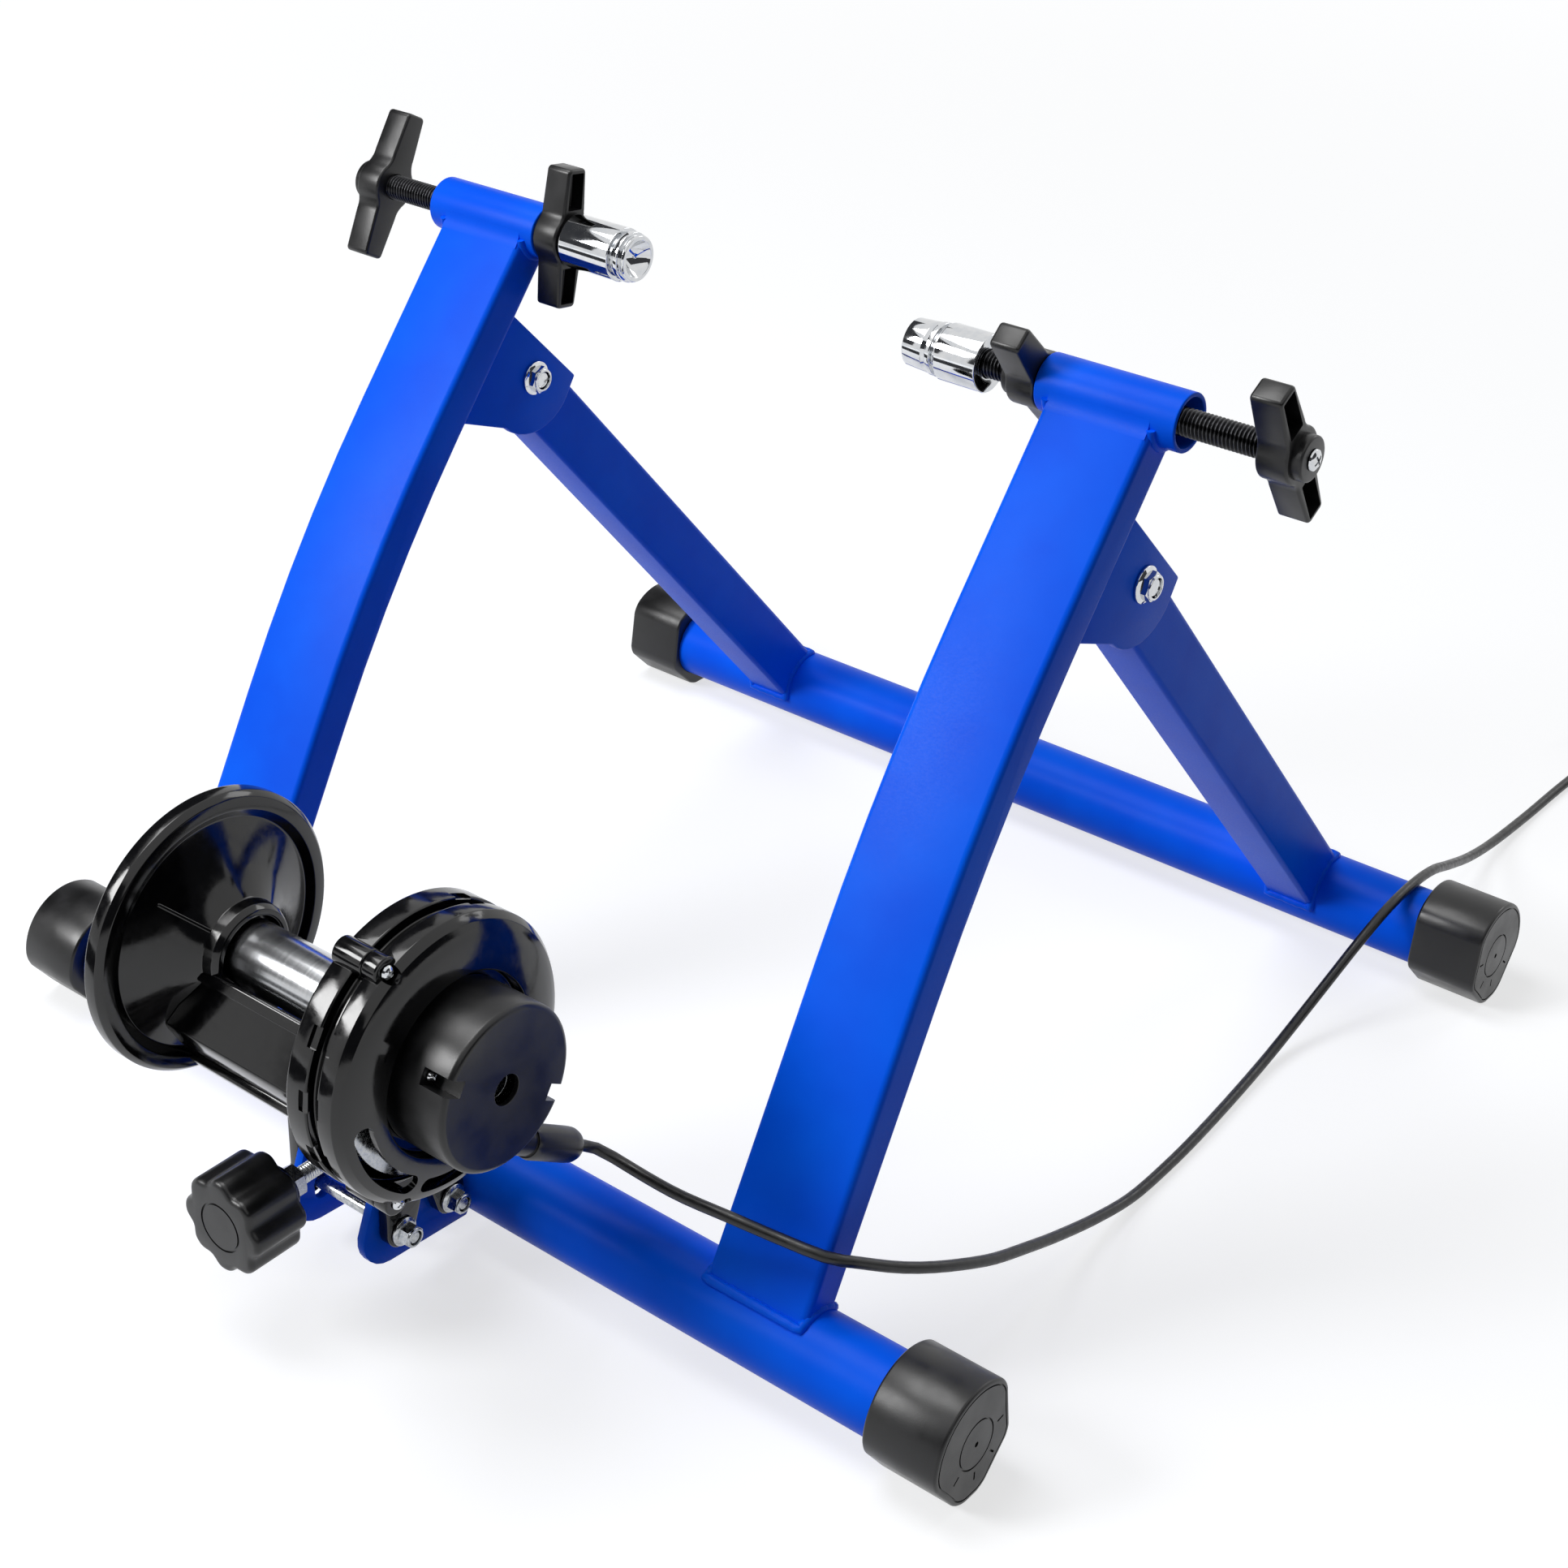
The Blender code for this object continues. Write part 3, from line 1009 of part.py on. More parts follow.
def shifter():
    x, y, z = shifter_place()
    end = coil_points()[-1]
    body = turned("shifter_body", rod_profile(SHIFTER_R, -SHIFTER_HALF, SHIFTER_HALF, 1.5 * MM),
                  (x, y, z), AXIS_X, BLACK, steps=24)
    join(body, turned("shifter_barrel", rod_profile(4.4 * MM, GAP, 15 * MM, 0.6 * MM), tuple(end),
                      AXIS_Y, None, steps=14))
    cut(body, turned("lever_axle_hole", rod_profile(2.3 * MM, -SHIFTER_HALF - 2 * MM, -SHIFTER_HALF + 5 * MM),
                      (x, y, z), AXIS_X, None, steps=12))
    tilt = radians(125)
    arm = [(-7 * MM, 7.5 * MM), (-7 * MM, -7.5 * MM), (SHIFTER_REACH - 8 * MM, -5 * MM)] \
        + arc((SHIFTER_REACH - 5 * MM, 0), 5 * MM, -80, 80, 6) + [(SHIFTER_REACH - 8 * MM, 5 * MM)]
    arm = [(a * cos(tilt) - b * sin(tilt), a * sin(tilt) + b * cos(tilt)) for a, b in arm]
    lever = slab("shifter_lever", arm, -SHIFTER_HALF - 4.3 * MM, -SHIFTER_HALF - GAP, (x, y, z), AXIS_X,
                 BLACK, bevel=0.8 * MM)
    join(lever, turned("lever_hub", rod_profile(11 * MM, -SHIFTER_HALF - 5.2 * MM, -SHIFTER_HALF - GAP,
                                                0.8 * MM), (x, y, z), AXIS_X, None, steps=20),
         turned("lever_axle", rod_profile(2.0 * MM, -SHIFTER_HALF - 2 * MM, -SHIFTER_HALF + 4 * MM),
                (x, y, z), AXIS_X, None, steps=12))
    ring_at = (x + SHIFTER_HALF + GAP + 14.8 * MM, y, z)
    clamp = turned("shifter_clamp", ring_profile(15.0 * MM, 11.2 * MM, -5 * MM, 5 * MM), ring_at,
                   AXIS_Y, BLACK, steps=24)
    flat = slab("clamp_flat", [(-5 * MM, -6 * MM), (5 * MM, -6 * MM), (5 * MM, 6 * MM),
                               (-5 * MM, 6 * MM)], SHIFTER_HALF + GAP, SHIFTER_HALF + 3 * MM,
                (x, y, z), AXIS_X, None)
    trim = slab("clamp_trim", [(-12 * MM, -12 * MM), (12 * MM, -12 * MM), (12 * MM, 12 * MM),
                               (-12 * MM, 12 * MM)], SHIFTER_HALF - 3 * MM, SHIFTER_HALF + GAP,
                (x, y, z), AXIS_X, None)
    join(clamp, flat)
    cut(clamp, trim)


rails()
for side in (1, -1):
    front_leg(side)
    head_tube(side)
    pivot_ear(side)
    fold_bolt(side)
    rear_leg(side)
    clamp_rod(side)
    clamp_cup(side)
    clamp_handle(side)
    lock_nut(side)
    bracket_plate(side)
foot("front_right_foot", 1, FRONT_RAIL)
foot("front_left_foot", -1, FRONT_RAIL)
foot("rear_right_foot", 1, REAR_RAIL, mirror=True)
foot("rear_left_foot", -1, REAR_RAIL, mirror=True)
spindle_trunnion()
tension_spindle()
tension_knob()
flywheel_housing()
flywheel_cover()
rotor()
roller_yoke()
unit_bolt("unit_pivot", UNIT_PIVOT)
unit_bolt("unit_guide", UNIT_GUIDE)
brake_backplate()
brake_housing()
for boss, angle in BOSS_ANGLES.items():
    pan_screw("housing_screw_" + boss, 68.0 * MM + GAP, 14 * MM, boss_place(angle))
actuator_cap()
cable_gland()
magnet_carrier()
cable()
shifter()
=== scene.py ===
"""Finished looks of a folding home trainer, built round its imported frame.

World axes as in the frame: X along the rails, Y to the rear, Z up, in metres.
"""
import json
from math import atan2, cos, degrees, hypot, pi, radians, sin, sqrt, tan

import bmesh
import bpy
from mathutils import Euler, Matrix, Vector


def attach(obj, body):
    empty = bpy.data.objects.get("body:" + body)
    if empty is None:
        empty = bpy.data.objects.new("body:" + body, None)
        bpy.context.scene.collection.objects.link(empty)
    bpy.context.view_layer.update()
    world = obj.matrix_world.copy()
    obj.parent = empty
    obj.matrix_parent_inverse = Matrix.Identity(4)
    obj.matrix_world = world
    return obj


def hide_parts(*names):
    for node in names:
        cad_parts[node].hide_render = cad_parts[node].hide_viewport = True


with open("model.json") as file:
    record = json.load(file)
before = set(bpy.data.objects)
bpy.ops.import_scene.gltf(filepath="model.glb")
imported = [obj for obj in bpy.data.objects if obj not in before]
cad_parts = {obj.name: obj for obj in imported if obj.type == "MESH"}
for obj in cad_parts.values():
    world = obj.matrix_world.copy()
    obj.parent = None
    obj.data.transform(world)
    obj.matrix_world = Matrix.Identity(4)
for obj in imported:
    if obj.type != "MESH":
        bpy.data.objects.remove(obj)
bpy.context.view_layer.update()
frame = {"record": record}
BODY_OF = {node: body for body, nodes in frame["record"]["behaviour"]["bodies"].items()
           for node in nodes}
SLOT_OF = {sub["node"]: sub["material_slot"] for sub in frame["record"]["subparts"]}

MM = 0.001
GAP = 0.3 * MM                      # between pieces that touch on the real product
RUN = 0.2 * MM                      # radial running clearance of bolts and shafts

# Stand
STAND_WIDTH = 545 * MM
CLAMP_Y = 43.9 * MM                 # places the stand's middle at Y = 0
CLAMP_Z = 364.0 * MM
CLAMP = (CLAMP_Y, CLAMP_Z)
FRONT_RAIL = (CLAMP_Y - 210.5 * MM, 26.5 * MM)      # (Y, Z) of the rail's axis
REAR_RAIL = (CLAMP_Y + 234.0 * MM, 26.5 * MM)
RAIL_R = 19.0 * MM
RAIL_WALL = 1.5 * MM
LEG_X = 169.0 * MM                  # middle of each side's legs
FRONT_LEG_WIDTH = 50.0 * MM
FRONT_LEG_DEPTH = 20.0 * MM
LEG_CORNER = 3.0 * MM
LEG_SLOPE = atan2(CLAMP_Z - FRONT_RAIL[1], CLAMP_Y - FRONT_RAIL[0])
LOWER_LEAN = LEG_SLOPE + radians(3.65)      # front leg's slope below and above its long bend
UPPER_LEAN = LEG_SLOPE - radians(6.95)
BEND_TANGENT = 75.0 * MM
HEAD_SWEEP = 15.0 * MM              # radius in which the leg's face runs into the head tube
LEG_AHEAD_OF_RAIL = 15.8 * MM       # front face of the leg, in front of the rail's axis
LEG_AHEAD_OF_HEAD = 8.7 * MM
REAR_LEG_WIDTH = 26.0 * MM
REAR_LEG_DEPTH = 30.0 * MM
HEAD_R = 12.5 * MM
HEAD_BORE = 10.5 * MM
HEAD_INNER = 138.0 * MM             # X of the head tube's two ends
HEAD_OUTER = 203.5 * MM
HEAD_NUT = 12.0 * MM                # threaded length welded in the inner end

# Fold pivot
FOLD = (CLAMP_Y - 2.0 * MM, 290.5 * MM)
EAR_WIDTH = 44.0 * MM
EAR_PLATE = 3.0 * MM
EAR_R = 28.5 * MM
EAR_TOP = 39.5 * MM                 # along the leg, down from the clamp axis
EAR_FOOT = 96.0 * MM
EAR_EDGE = 16.5 * MM                # upper edge of the ear above the rear leg's axis
EAR_REACH = 24.6 * MM
FOLD_BOLT_R = 5.0 * MM

# Feet
FOOT_LENGTH = 35.0 * MM
FOOT_ROUND = 27.2 * MM
FOOT_END = 4.0 * MM
FOOT_MARKS = (-90, -142, -45, 8)    # plain index marks, one for each height it can stand at
FOOT_FLATS = ((-142.0, 24.2 * MM), (-90.0, 26.5 * MM), (-45.0, 23.0 * MM), (8.0, 22.3 * MM))

# Clamp screws
ROD_R = 6.0 * MM
ROD_PITCH = 1.75 * MM
CUP_R = 12.5 * MM
CUP_LENGTH = 38.0 * MM
CUP_TIP = {1: 70.7 * MM, -1: 83.4 * MM}             # distance of each cup's mouth from the middle
CUP_HOLD = 12.0 * MM                # rod length held in the cup
CUP_NECK = {1: 17.5 * MM, -1: 8.6 * MM}             # from the mouth to the cup's full width
LOCK_SPAN = 14.0 * MM
LOCK_HALF = 32.5 * MM
HANDLE_HALF = 35.5 * MM
HANDLE_SPAN = 14.0 * MM
HANDLE_INNER = 239.0 * MM
HUB_R = 9.5 * MM
HUB_PROUD = 4.5 * MM
HANDLE_LEAN = {1: 120.0, -1: 62.0}                  # degrees from +Y, seen from the right
LOCK_LEAN = {1: 132.0, -1: 82.0}

# Resistance unit
UNIT = (CLAMP_Y - 287.0 * MM, 153.0 * MM)           # (Y, Z) of the roller's axis
UNIT_PIVOT = (CLAMP_Y - 238.8 * MM, 30.5 * MM)
UNIT_GUIDE = (CLAMP_Y - 268.0 * MM, 30.5 * MM)
UNIT_BOLT_R = 4.0 * MM
TILT_OUT = radians(8.0)             # how far the unit swings forward
PLATE_OUTER = {1: 13.0 * MM, -1: -34.0 * MM}        # outer face of each bracket plate
PLATE = 4.0 * MM
LUG = 6.0 * MM
SPINDLE_X = -9.5 * MM
SPINDLE_Z = 61.3 * MM
SPINDLE_R = 4.0 * MM
SPINDLE_PITCH = 1.25 * MM
TRUNNION_Y = CLAMP_Y - 260.5 * MM
TRUNNION = (TRUNNION_Y, SPINDLE_Z)
TRUNNION_R = 8.0 * MM
WALL_FRONT = CLAMP_Y - 244.5 * MM   # face of the yoke that the spindle pushes
WALL = 6.0 * MM
KNOB_FRONT = CLAMP_Y - 341.0 * MM
KNOB_BACK = CLAMP_Y - 313.0 * MM
KNOB_R = 22.3 * MM
KNOB_FLUTE = 2.6 * MM
KNOB_LOBES = 8
COLLAR_FRONT = CLAMP_Y - 306.0 * MM
COLLAR_BACK = CLAMP_Y - 299.5 * MM
COLLAR_R = 7.6 * MM
SHAFT_R = 5.0 * MM
ROLLER_R = 14.3 * MM
ROLLER_LEFT = -44.0 * MM
ROLLER_RIGHT = 43.0 * MM
DRUM_R = 62.0 * MM
DRUM_LEFT = -72.0 * MM
DRUM_FACE = -62.5 * MM
FLYWHEEL_R = 45.0 * MM
BRAKE_R = 60.8 * MM
BRAKE_LEFT = 44.5 * MM
BACK_RIM = 55.4 * MM                # X of the back shell's rim
BACK_SEAM = 60.4 * MM               # where its lip and bosses end, inside the dome
DOME_RIM = 61.0 * MM
DOME_SEAT = 68.0 * MM               # face that the housing screws are tightened on
DOME_FACE = 70.3 * MM               # face that the cap stands on
TAB_ANGLES = (20, 65, 150, 175, 200, 275, 320)
CAP_R = 35.0 * MM
CAP_FRONT = 101.0 * MM
BOSS_RADIUS = 60.5 * MM
BOSS_R = 6.0 * MM
BOSS_ANGLES = {"top": 118.0, "bottom": -118.0}
CABLE_DRUM_R = 25.3 * MM
GLAND_X = 85.0 * MM
GLAND_DROP = radians(33.0)
GLAND_END = 80.0 * MM               # end of the boot, from the foot of the cable's line

# Cable
CABLE_R = 2.5 * MM
COIL_TURNS = 4
COIL_PITCH = 5.6 * MM
COIL_MIDDLE = 27.6 * MM             # radius at the middle of the turns
COIL_CENTRE = (245.0 * MM, 562.0 * MM)
POINTS_PER_TURN = 24

CAP_SLOTS = {"front": 151.0, "rear": -31.0}
CAP_SEAT = 87.0 * MM
CAP_BOSS = 30.0 * MM
SHIFTER_R = 17.2 * MM
SHIFTER_HALF = 6.0 * MM
SHIFTER_REACH = 34.0 * MM

AXIS_X = (pi / 2, 0.0, pi / 2)      # local z along world X, local x along Y, local y along Z
AXIS_Y = (-pi / 2, 0.0, 0.0)        # local z along world Y, local x along X, local y down

CLAMP_AXIS = (0, *CLAMP)            # origins of pieces that are drawn about an axis
UNIT_AXIS = (0, *UNIT)
SPINDLE_AT = (SPINDLE_X, *TRUNNION)

TURN_STEPS = 96
DRUM_STEPS = 128


# Camera: the photograph's own viewpoint, solved from the rails, the head tubes and the roller

PICTURE = 1932                      # width and height of the photograph, in pixels
FOCAL_PIXELS = 3421.32
LENS_CENTRE = (840.58, 815.77)      # pixel that the lens looks straight at
SENSOR = 36.0                       # millimetres
CAMERA_YAW, CAMERA_PITCH, CAMERA_ROLL = 0.6975, -0.4835, -0.0106
CAMERA_PLACE = (0.6995, CLAMP_Y - 0.9006, 0.7855)


def set_camera():
    ahead = Vector((-sin(CAMERA_YAW) * cos(CAMERA_PITCH), cos(CAMERA_YAW) * cos(CAMERA_PITCH),
                    sin(CAMERA_PITCH)))
    level = Vector((cos(CAMERA_YAW), sin(CAMERA_YAW), 0))
    down = ahead.cross(level)
    right = cos(CAMERA_ROLL) * level + sin(CAMERA_ROLL) * down
    down = -sin(CAMERA_ROLL) * level + cos(CAMERA_ROLL) * down
    data = bpy.data.cameras.new("studio_camera")
    data.sensor_width = SENSOR
    data.lens = FOCAL_PIXELS / PICTURE * SENSOR
    data.shift_x = (PICTURE / 2 - LENS_CENTRE[0]) / PICTURE
    data.shift_y = (LENS_CENTRE[1] - PICTURE / 2) / PICTURE
    data.clip_start = 0.05
    data.clip_end = 60.0
    camera = bpy.data.objects.new("studio_camera", data)
    bpy.context.scene.collection.objects.link(camera)
    turn = Matrix((right, -down, -ahead)).transposed().to_4x4()
    camera.matrix_world = Matrix.Translation(CAMERA_PLACE) @ turn
    bpy.context.scene.camera = camera


# Materials

MOST_NOISE = {"From Min": 0.35, "From Max": 0.65}   # where most values of a noise pattern lie


def linear(code):
    """An sRGB hex value as linear red, green, blue and alpha."""
    channels = [int(code[i:i + 2], 16) / 255 for i in (0, 2, 4)]
    return (*(c / 12.92 if c <= 0.04045 else ((c + 0.055) / 1.055) ** 2.4 for c in channels), 1.0)


def add(tree, kind, settings=(), values=(), links=()):
    """Adds a node, with its settings, its input values and the sockets that feed it."""
    node = tree.nodes.new(kind)
    for name, value in dict(settings).items():
        setattr(node, name, value)
    for name, value in dict(values).items():
        node.inputs[name].default_value = value
    for name, source in dict(links).items():
        tree.links.new(source, node.inputs[name])
    return node


def new_material(name, values):
    """A node material with its even values set, and the piece's own place to draw patterns by."""
    made = bpy.data.materials.new(name)
    made.use_nodes = True
    tree = made.node_tree
    shader = tree.nodes["Principled BSDF"]
    for key, value in values.items():
        shader.inputs[key].default_value = value
    place = add(tree, "ShaderNodeTexCoord").outputs["Object"]
    return made, tree, shader, place


def powder_coat():
    """Polyester powder coat, baked: it levels out to a satin gloss, with a faint orange peel of
    2 mm cells and a slightly deeper blue where it runs thick."""
    made, tree, shader, place = new_material("baked_blue_powder_coat", {
        "IOR": 1.5, "Specular IOR Level": 0.08})
    drift = add(tree, "ShaderNodeTexNoise", (), {"Scale": 1 / (60 * MM), "Detail": 3.0},
                {"Vector": place})
    depth = add(tree, "ShaderNodeMapRange", (), MOST_NOISE,
                {"Value": drift.outputs["Fac"]})
    colour = add(tree, "ShaderNodeMix", {"data_type": "RGBA"},
                 {"A": linear("0058f4"), "B": linear("0064ff")},
                 {"Factor": depth.outputs["Result"]})
    tree.links.new(colour.outputs["Result"], shader.inputs["Base Color"])
    fine = add(tree, "ShaderNodeTexNoise", (), {"Scale": 1 / (0.7 * MM), "Detail": 1.0},
               {"Vector": place})
    gloss = add(tree, "ShaderNodeMapRange", (), {**MOST_NOISE, "To Min": 0.34, "To Max": 0.42},
                {"Value": fine.outputs["Fac"]})
    tree.links.new(gloss.outputs["Result"], shader.inputs["Roughness"])
    peel = add(tree, "ShaderNodeTexNoise", (), {"Scale": 1 / (2.0 * MM), "Detail": 2.0},
               {"Vector": place})
    bump = add(tree, "ShaderNodeBump", (), {"Strength": 0.4, "Distance": 0.05 * MM},
               {"Height": peel.outputs["Fac"]})
    tree.links.new(bump.outputs["Normal"], shader.inputs["Normal"])
    return made


def polished_moulding():
    """Glossy ABS from a polished mould: near black, mirror-like, with slow sink waves of 12 mm and
    fine handling scratches that dull it in places."""
    made, tree, shader, place = new_material("polished_black_moulding", {
        "Base Color": linear("08080a"), "IOR": 1.5})
    wave = add(tree, "ShaderNodeTexNoise", (), {"Scale": 1 / (12 * MM), "Detail": 1.0},
               {"Vector": place})
    sink = add(tree, "ShaderNodeBump", (), {"Strength": 0.3, "Distance": 0.1 * MM},
               {"Height": wave.outputs["Fac"]})
    haze = add(tree, "ShaderNodeTexNoise", (), {"Scale": 1 / (5 * MM), "Detail": 6.0,
                                                "Roughness": 0.7}, {"Vector": place})
    gloss = add(tree, "ShaderNodeMapRange", (), {**MOST_NOISE, "To Min": 0.07, "To Max": 0.17},
                {"Value": haze.outputs["Fac"]})
    tree.links.new(gloss.outputs["Result"], shader.inputs["Roughness"])
    along = add(tree, "ShaderNodeMapping", (), {"Scale": (0.15, 1.0, 1.0),
                                                "Rotation": (0.3, 0.5, 0.8)}, {"Vector": place})
    scratch = add(tree, "ShaderNodeTexNoise", (), {"Scale": 1 / (0.6 * MM), "Detail": 2.0},
                  {"Vector": along.outputs["Vector"]})
    fine = add(tree, "ShaderNodeBump", (), {"Strength": 0.35, "Distance": 0.012 * MM},
               {"Height": scratch.outputs["Fac"], "Normal": sink.outputs["Normal"]})
    tree.links.new(fine.outputs["Normal"], shader.inputs["Normal"])
    return made


def textured_moulding():
    """Moulded polypropylene with a spark-eroded grain of 0.5 mm pits, rubbed a little paler in
    14 mm patches."""
    made, tree, shader, place = new_material("textured_black_moulding", {"IOR": 1.49})
    wear = add(tree, "ShaderNodeTexNoise", (), {"Scale": 1 / (14 * MM), "Detail": 4.0},
               {"Vector": place})
    share = add(tree, "ShaderNodeMapRange", (), MOST_NOISE,
                {"Value": wear.outputs["Fac"]})
    colour = add(tree, "ShaderNodeMix", {"data_type": "RGBA"},
                 {"A": linear("0b0b0c"), "B": linear("141416")},
                 {"Factor": share.outputs["Result"]})
    tree.links.new(colour.outputs["Result"], shader.inputs["Base Color"])
    gloss = add(tree, "ShaderNodeMapRange", (), {"To Min": 0.28, "To Max": 0.4},
                {"Value": share.outputs["Result"]})
    tree.links.new(gloss.outputs["Result"], shader.inputs["Roughness"])
    grain = add(tree, "ShaderNodeTexVoronoi", (), {"Scale": 1 / (0.5 * MM)}, {"Vector": place})
    pits = add(tree, "ShaderNodeBump", (), {"Strength": 0.3, "Distance": 0.03 * MM},
               {"Height": grain.outputs["Distance"]})
    tree.links.new(pits.outputs["Normal"], shader.inputs["Normal"])
    return made


def cable_sheath():
    """Extruded PVC sheath: satin black, with the faint 3 mm lay of the steel wires under it."""
    made, tree, shader, place = new_material("extruded_cable_sheath", {
        "Base Color": linear("0e0e0f"), "IOR": 1.5})
    lay = add(tree, "ShaderNodeTexNoise", (), {"Scale": 1 / (3 * MM), "Detail": 2.0},
              {"Vector": place})
    gloss = add(tree, "ShaderNodeMapRange", (), {**MOST_NOISE, "To Min": 0.3, "To Max": 0.45},
                {"Value": lay.outputs["Fac"]})
    tree.links.new(gloss.outputs["Result"], shader.inputs["Roughness"])
    wires = add(tree, "ShaderNodeBump", (), {"Strength": 0.4, "Distance": 0.04 * MM},
                {"Height": lay.outputs["Fac"]})
    tree.links.new(wires.outputs["Normal"], shader.inputs["Normal"])
    return made


def bright_chrome():
    """Decorative chrome over nickel: a mirror, with a trace of polishing haze in 4 mm clouds."""
    made, tree, shader, place = new_material("polished_chrome_plate", {"Metallic": 1.0})
    haze = add(tree, "ShaderNodeTexNoise", (), {"Scale": 1 / (4 * MM), "Detail": 5.0,
                                                "Roughness": 0.6}, {"Vector": place})
    cloud = add(tree, "ShaderNodeMapRange", (), MOST_NOISE,
                {"Value": haze.outputs["Fac"]})
    tint = add(tree, "ShaderNodeMix", {"data_type": "RGBA"},
               {"A": linear("c9ccd0"), "B": linear("d6d7d8")}, {"Factor": cloud.outputs["Result"]})
    tree.links.new(tint.outputs["Result"], shader.inputs["Base Color"])
    gloss = add(tree, "ShaderNodeMapRange", (), {"To Min": 0.045, "To Max": 0.075},
                {"Value": cloud.outputs["Result"]})
    tree.links.new(gloss.outputs["Result"], shader.inputs["Roughness"])
    return made


def zinc_plate():
    """Bright zinc on steel: pale and slightly cloudy, in spangles of about 1.5 mm."""
    made, tree, shader, place = new_material("bright_zinc_plate", {"Metallic": 1.0})
    spangle = add(tree, "ShaderNodeTexNoise", (), {"Scale": 1 / (1.5 * MM), "Detail": 3.0},
                  {"Vector": place})
    cloud = add(tree, "ShaderNodeMapRange", (), MOST_NOISE,
                {"Value": spangle.outputs["Fac"]})
    tint = add(tree, "ShaderNodeMix", {"data_type": "RGBA"},
               {"A": linear("9da1a6"), "B": linear("c4c6c6")}, {"Factor": cloud.outputs["Result"]})
    tree.links.new(tint.outputs["Result"], shader.inputs["Base Color"])
    gloss = add(tree, "ShaderNodeMapRange", (), {"To Min": 0.16, "To Max": 0.3},
                {"Value": cloud.outputs["Result"]})
    tree.links.new(gloss.outputs["Result"], shader.inputs["Roughness"])
    bump = add(tree, "ShaderNodeBump", (), {"Strength": 0.25, "Distance": 0.02 * MM},
               {"Height": spangle.outputs["Fac"]})
    tree.links.new(bump.outputs["Normal"], shader.inputs["Normal"])
    return made


def turned_bar():
    """Turned and ground steel: faint tool marks run round the bar, drawn 0.8 mm apart so that they
    show, and smear its highlights along it."""
    made, tree, shader, place = new_material("ground_steel_bar", {"Metallic": 1.0})
    round_bar = add(tree, "ShaderNodeMapping", (), {"Scale": (1.0, 0.02, 0.02)}, {"Vector": place})
    marks = add(tree, "ShaderNodeTexNoise", (), {"Scale": 1 / (0.8 * MM), "Detail": 4.0,
                                                 "Roughness": 0.7},
                {"Vector": round_bar.outputs["Vector"]})
    share = add(tree, "ShaderNodeMapRange", (), {"From Min": 0.3, "From Max": 0.7},
                {"Value": marks.outputs["Fac"]})
    tint = add(tree, "ShaderNodeMix", {"data_type": "RGBA"},
               {"A": linear("bcbfc2"), "B": linear("cfd0d2")}, {"Factor": share.outputs["Result"]})
    tree.links.new(tint.outputs["Result"], shader.inputs["Base Color"])
    gloss = add(tree, "ShaderNodeMapRange", (), {"To Min": 0.15, "To Max": 0.23},
                {"Value": share.outputs["Result"]})
    tree.links.new(gloss.outputs["Result"], shader.inputs["Roughness"])
    bump = add(tree, "ShaderNodeBump", (), {"Strength": 0.25, "Distance": 0.006 * MM},
               {"Height": marks.outputs["Fac"]})
    tree.links.new(bump.outputs["Normal"], shader.inputs["Normal"])
    return made


def blackened_steel():
    """Black oxide over a rolled thread: dark and oily, and worn grey where the crests rub."""
    made, tree, shader, place = new_material("black_oxide_thread", {"Metallic": 1.0})
    edge = add(tree, "ShaderNodeNewGeometry")
    worn = add(tree, "ShaderNodeMapRange", (), {"From Min": 0.52, "From Max": 0.6},
               {"Value": edge.outputs["Pointiness"]})
    blot = add(tree, "ShaderNodeTexNoise", (), {"Scale": 1 / (3 * MM), "Detail": 3.0},
               {"Vector": place})
    share = add(tree, "ShaderNodeMath", {"operation": "MULTIPLY"}, (),
                {0: worn.outputs["Result"], 1: blot.outputs["Fac"]})
    tint = add(tree, "ShaderNodeMix", {"data_type": "RGBA"},
               {"A": linear("1c1c1e"), "B": linear("77787b")}, {"Factor": share.outputs["Value"]})
    tree.links.new(tint.outputs["Result"], shader.inputs["Base Color"])
    gloss = add(tree, "ShaderNodeMapRange", (), {**MOST_NOISE, "To Min": 0.24, "To Max": 0.38},
                {"Value": blot.outputs["Fac"]})
    tree.links.new(gloss.outputs["Result"], shader.inputs["Roughness"])
    return made


def rolled_aluminium():
    """Rolled aluminium sheet: bright, with a grain of 0.6 mm lines that runs one way."""
    made, tree, shader, place = new_material("rolled_aluminium_sheet", {
        "Metallic": 1.0, "Roughness": 0.3})
    one_way = add(tree, "ShaderNodeMapping", (), {"Scale": (1.0, 0.05, 1.0)}, {"Vector": place})
    lines = add(tree, "ShaderNodeTexNoise", (), {"Scale": 1 / (0.6 * MM), "Detail": 3.0},
                {"Vector": one_way.outputs["Vector"]})
    tint = add(tree, "ShaderNodeMix", {"data_type": "RGBA"},
               {"A": linear("b9bbbe"), "B": linear("d6d7d8")}, {"Factor": lines.outputs["Fac"]})
    tree.links.new(tint.outputs["Result"], shader.inputs["Base Color"])
    bump = add(tree, "ShaderNodeBump", (), {"Strength": 0.3, "Distance": 0.02 * MM},
               {"Height": lines.outputs["Fac"]})
    tree.links.new(bump.outputs["Normal"], shader.inputs["Normal"])
    return made


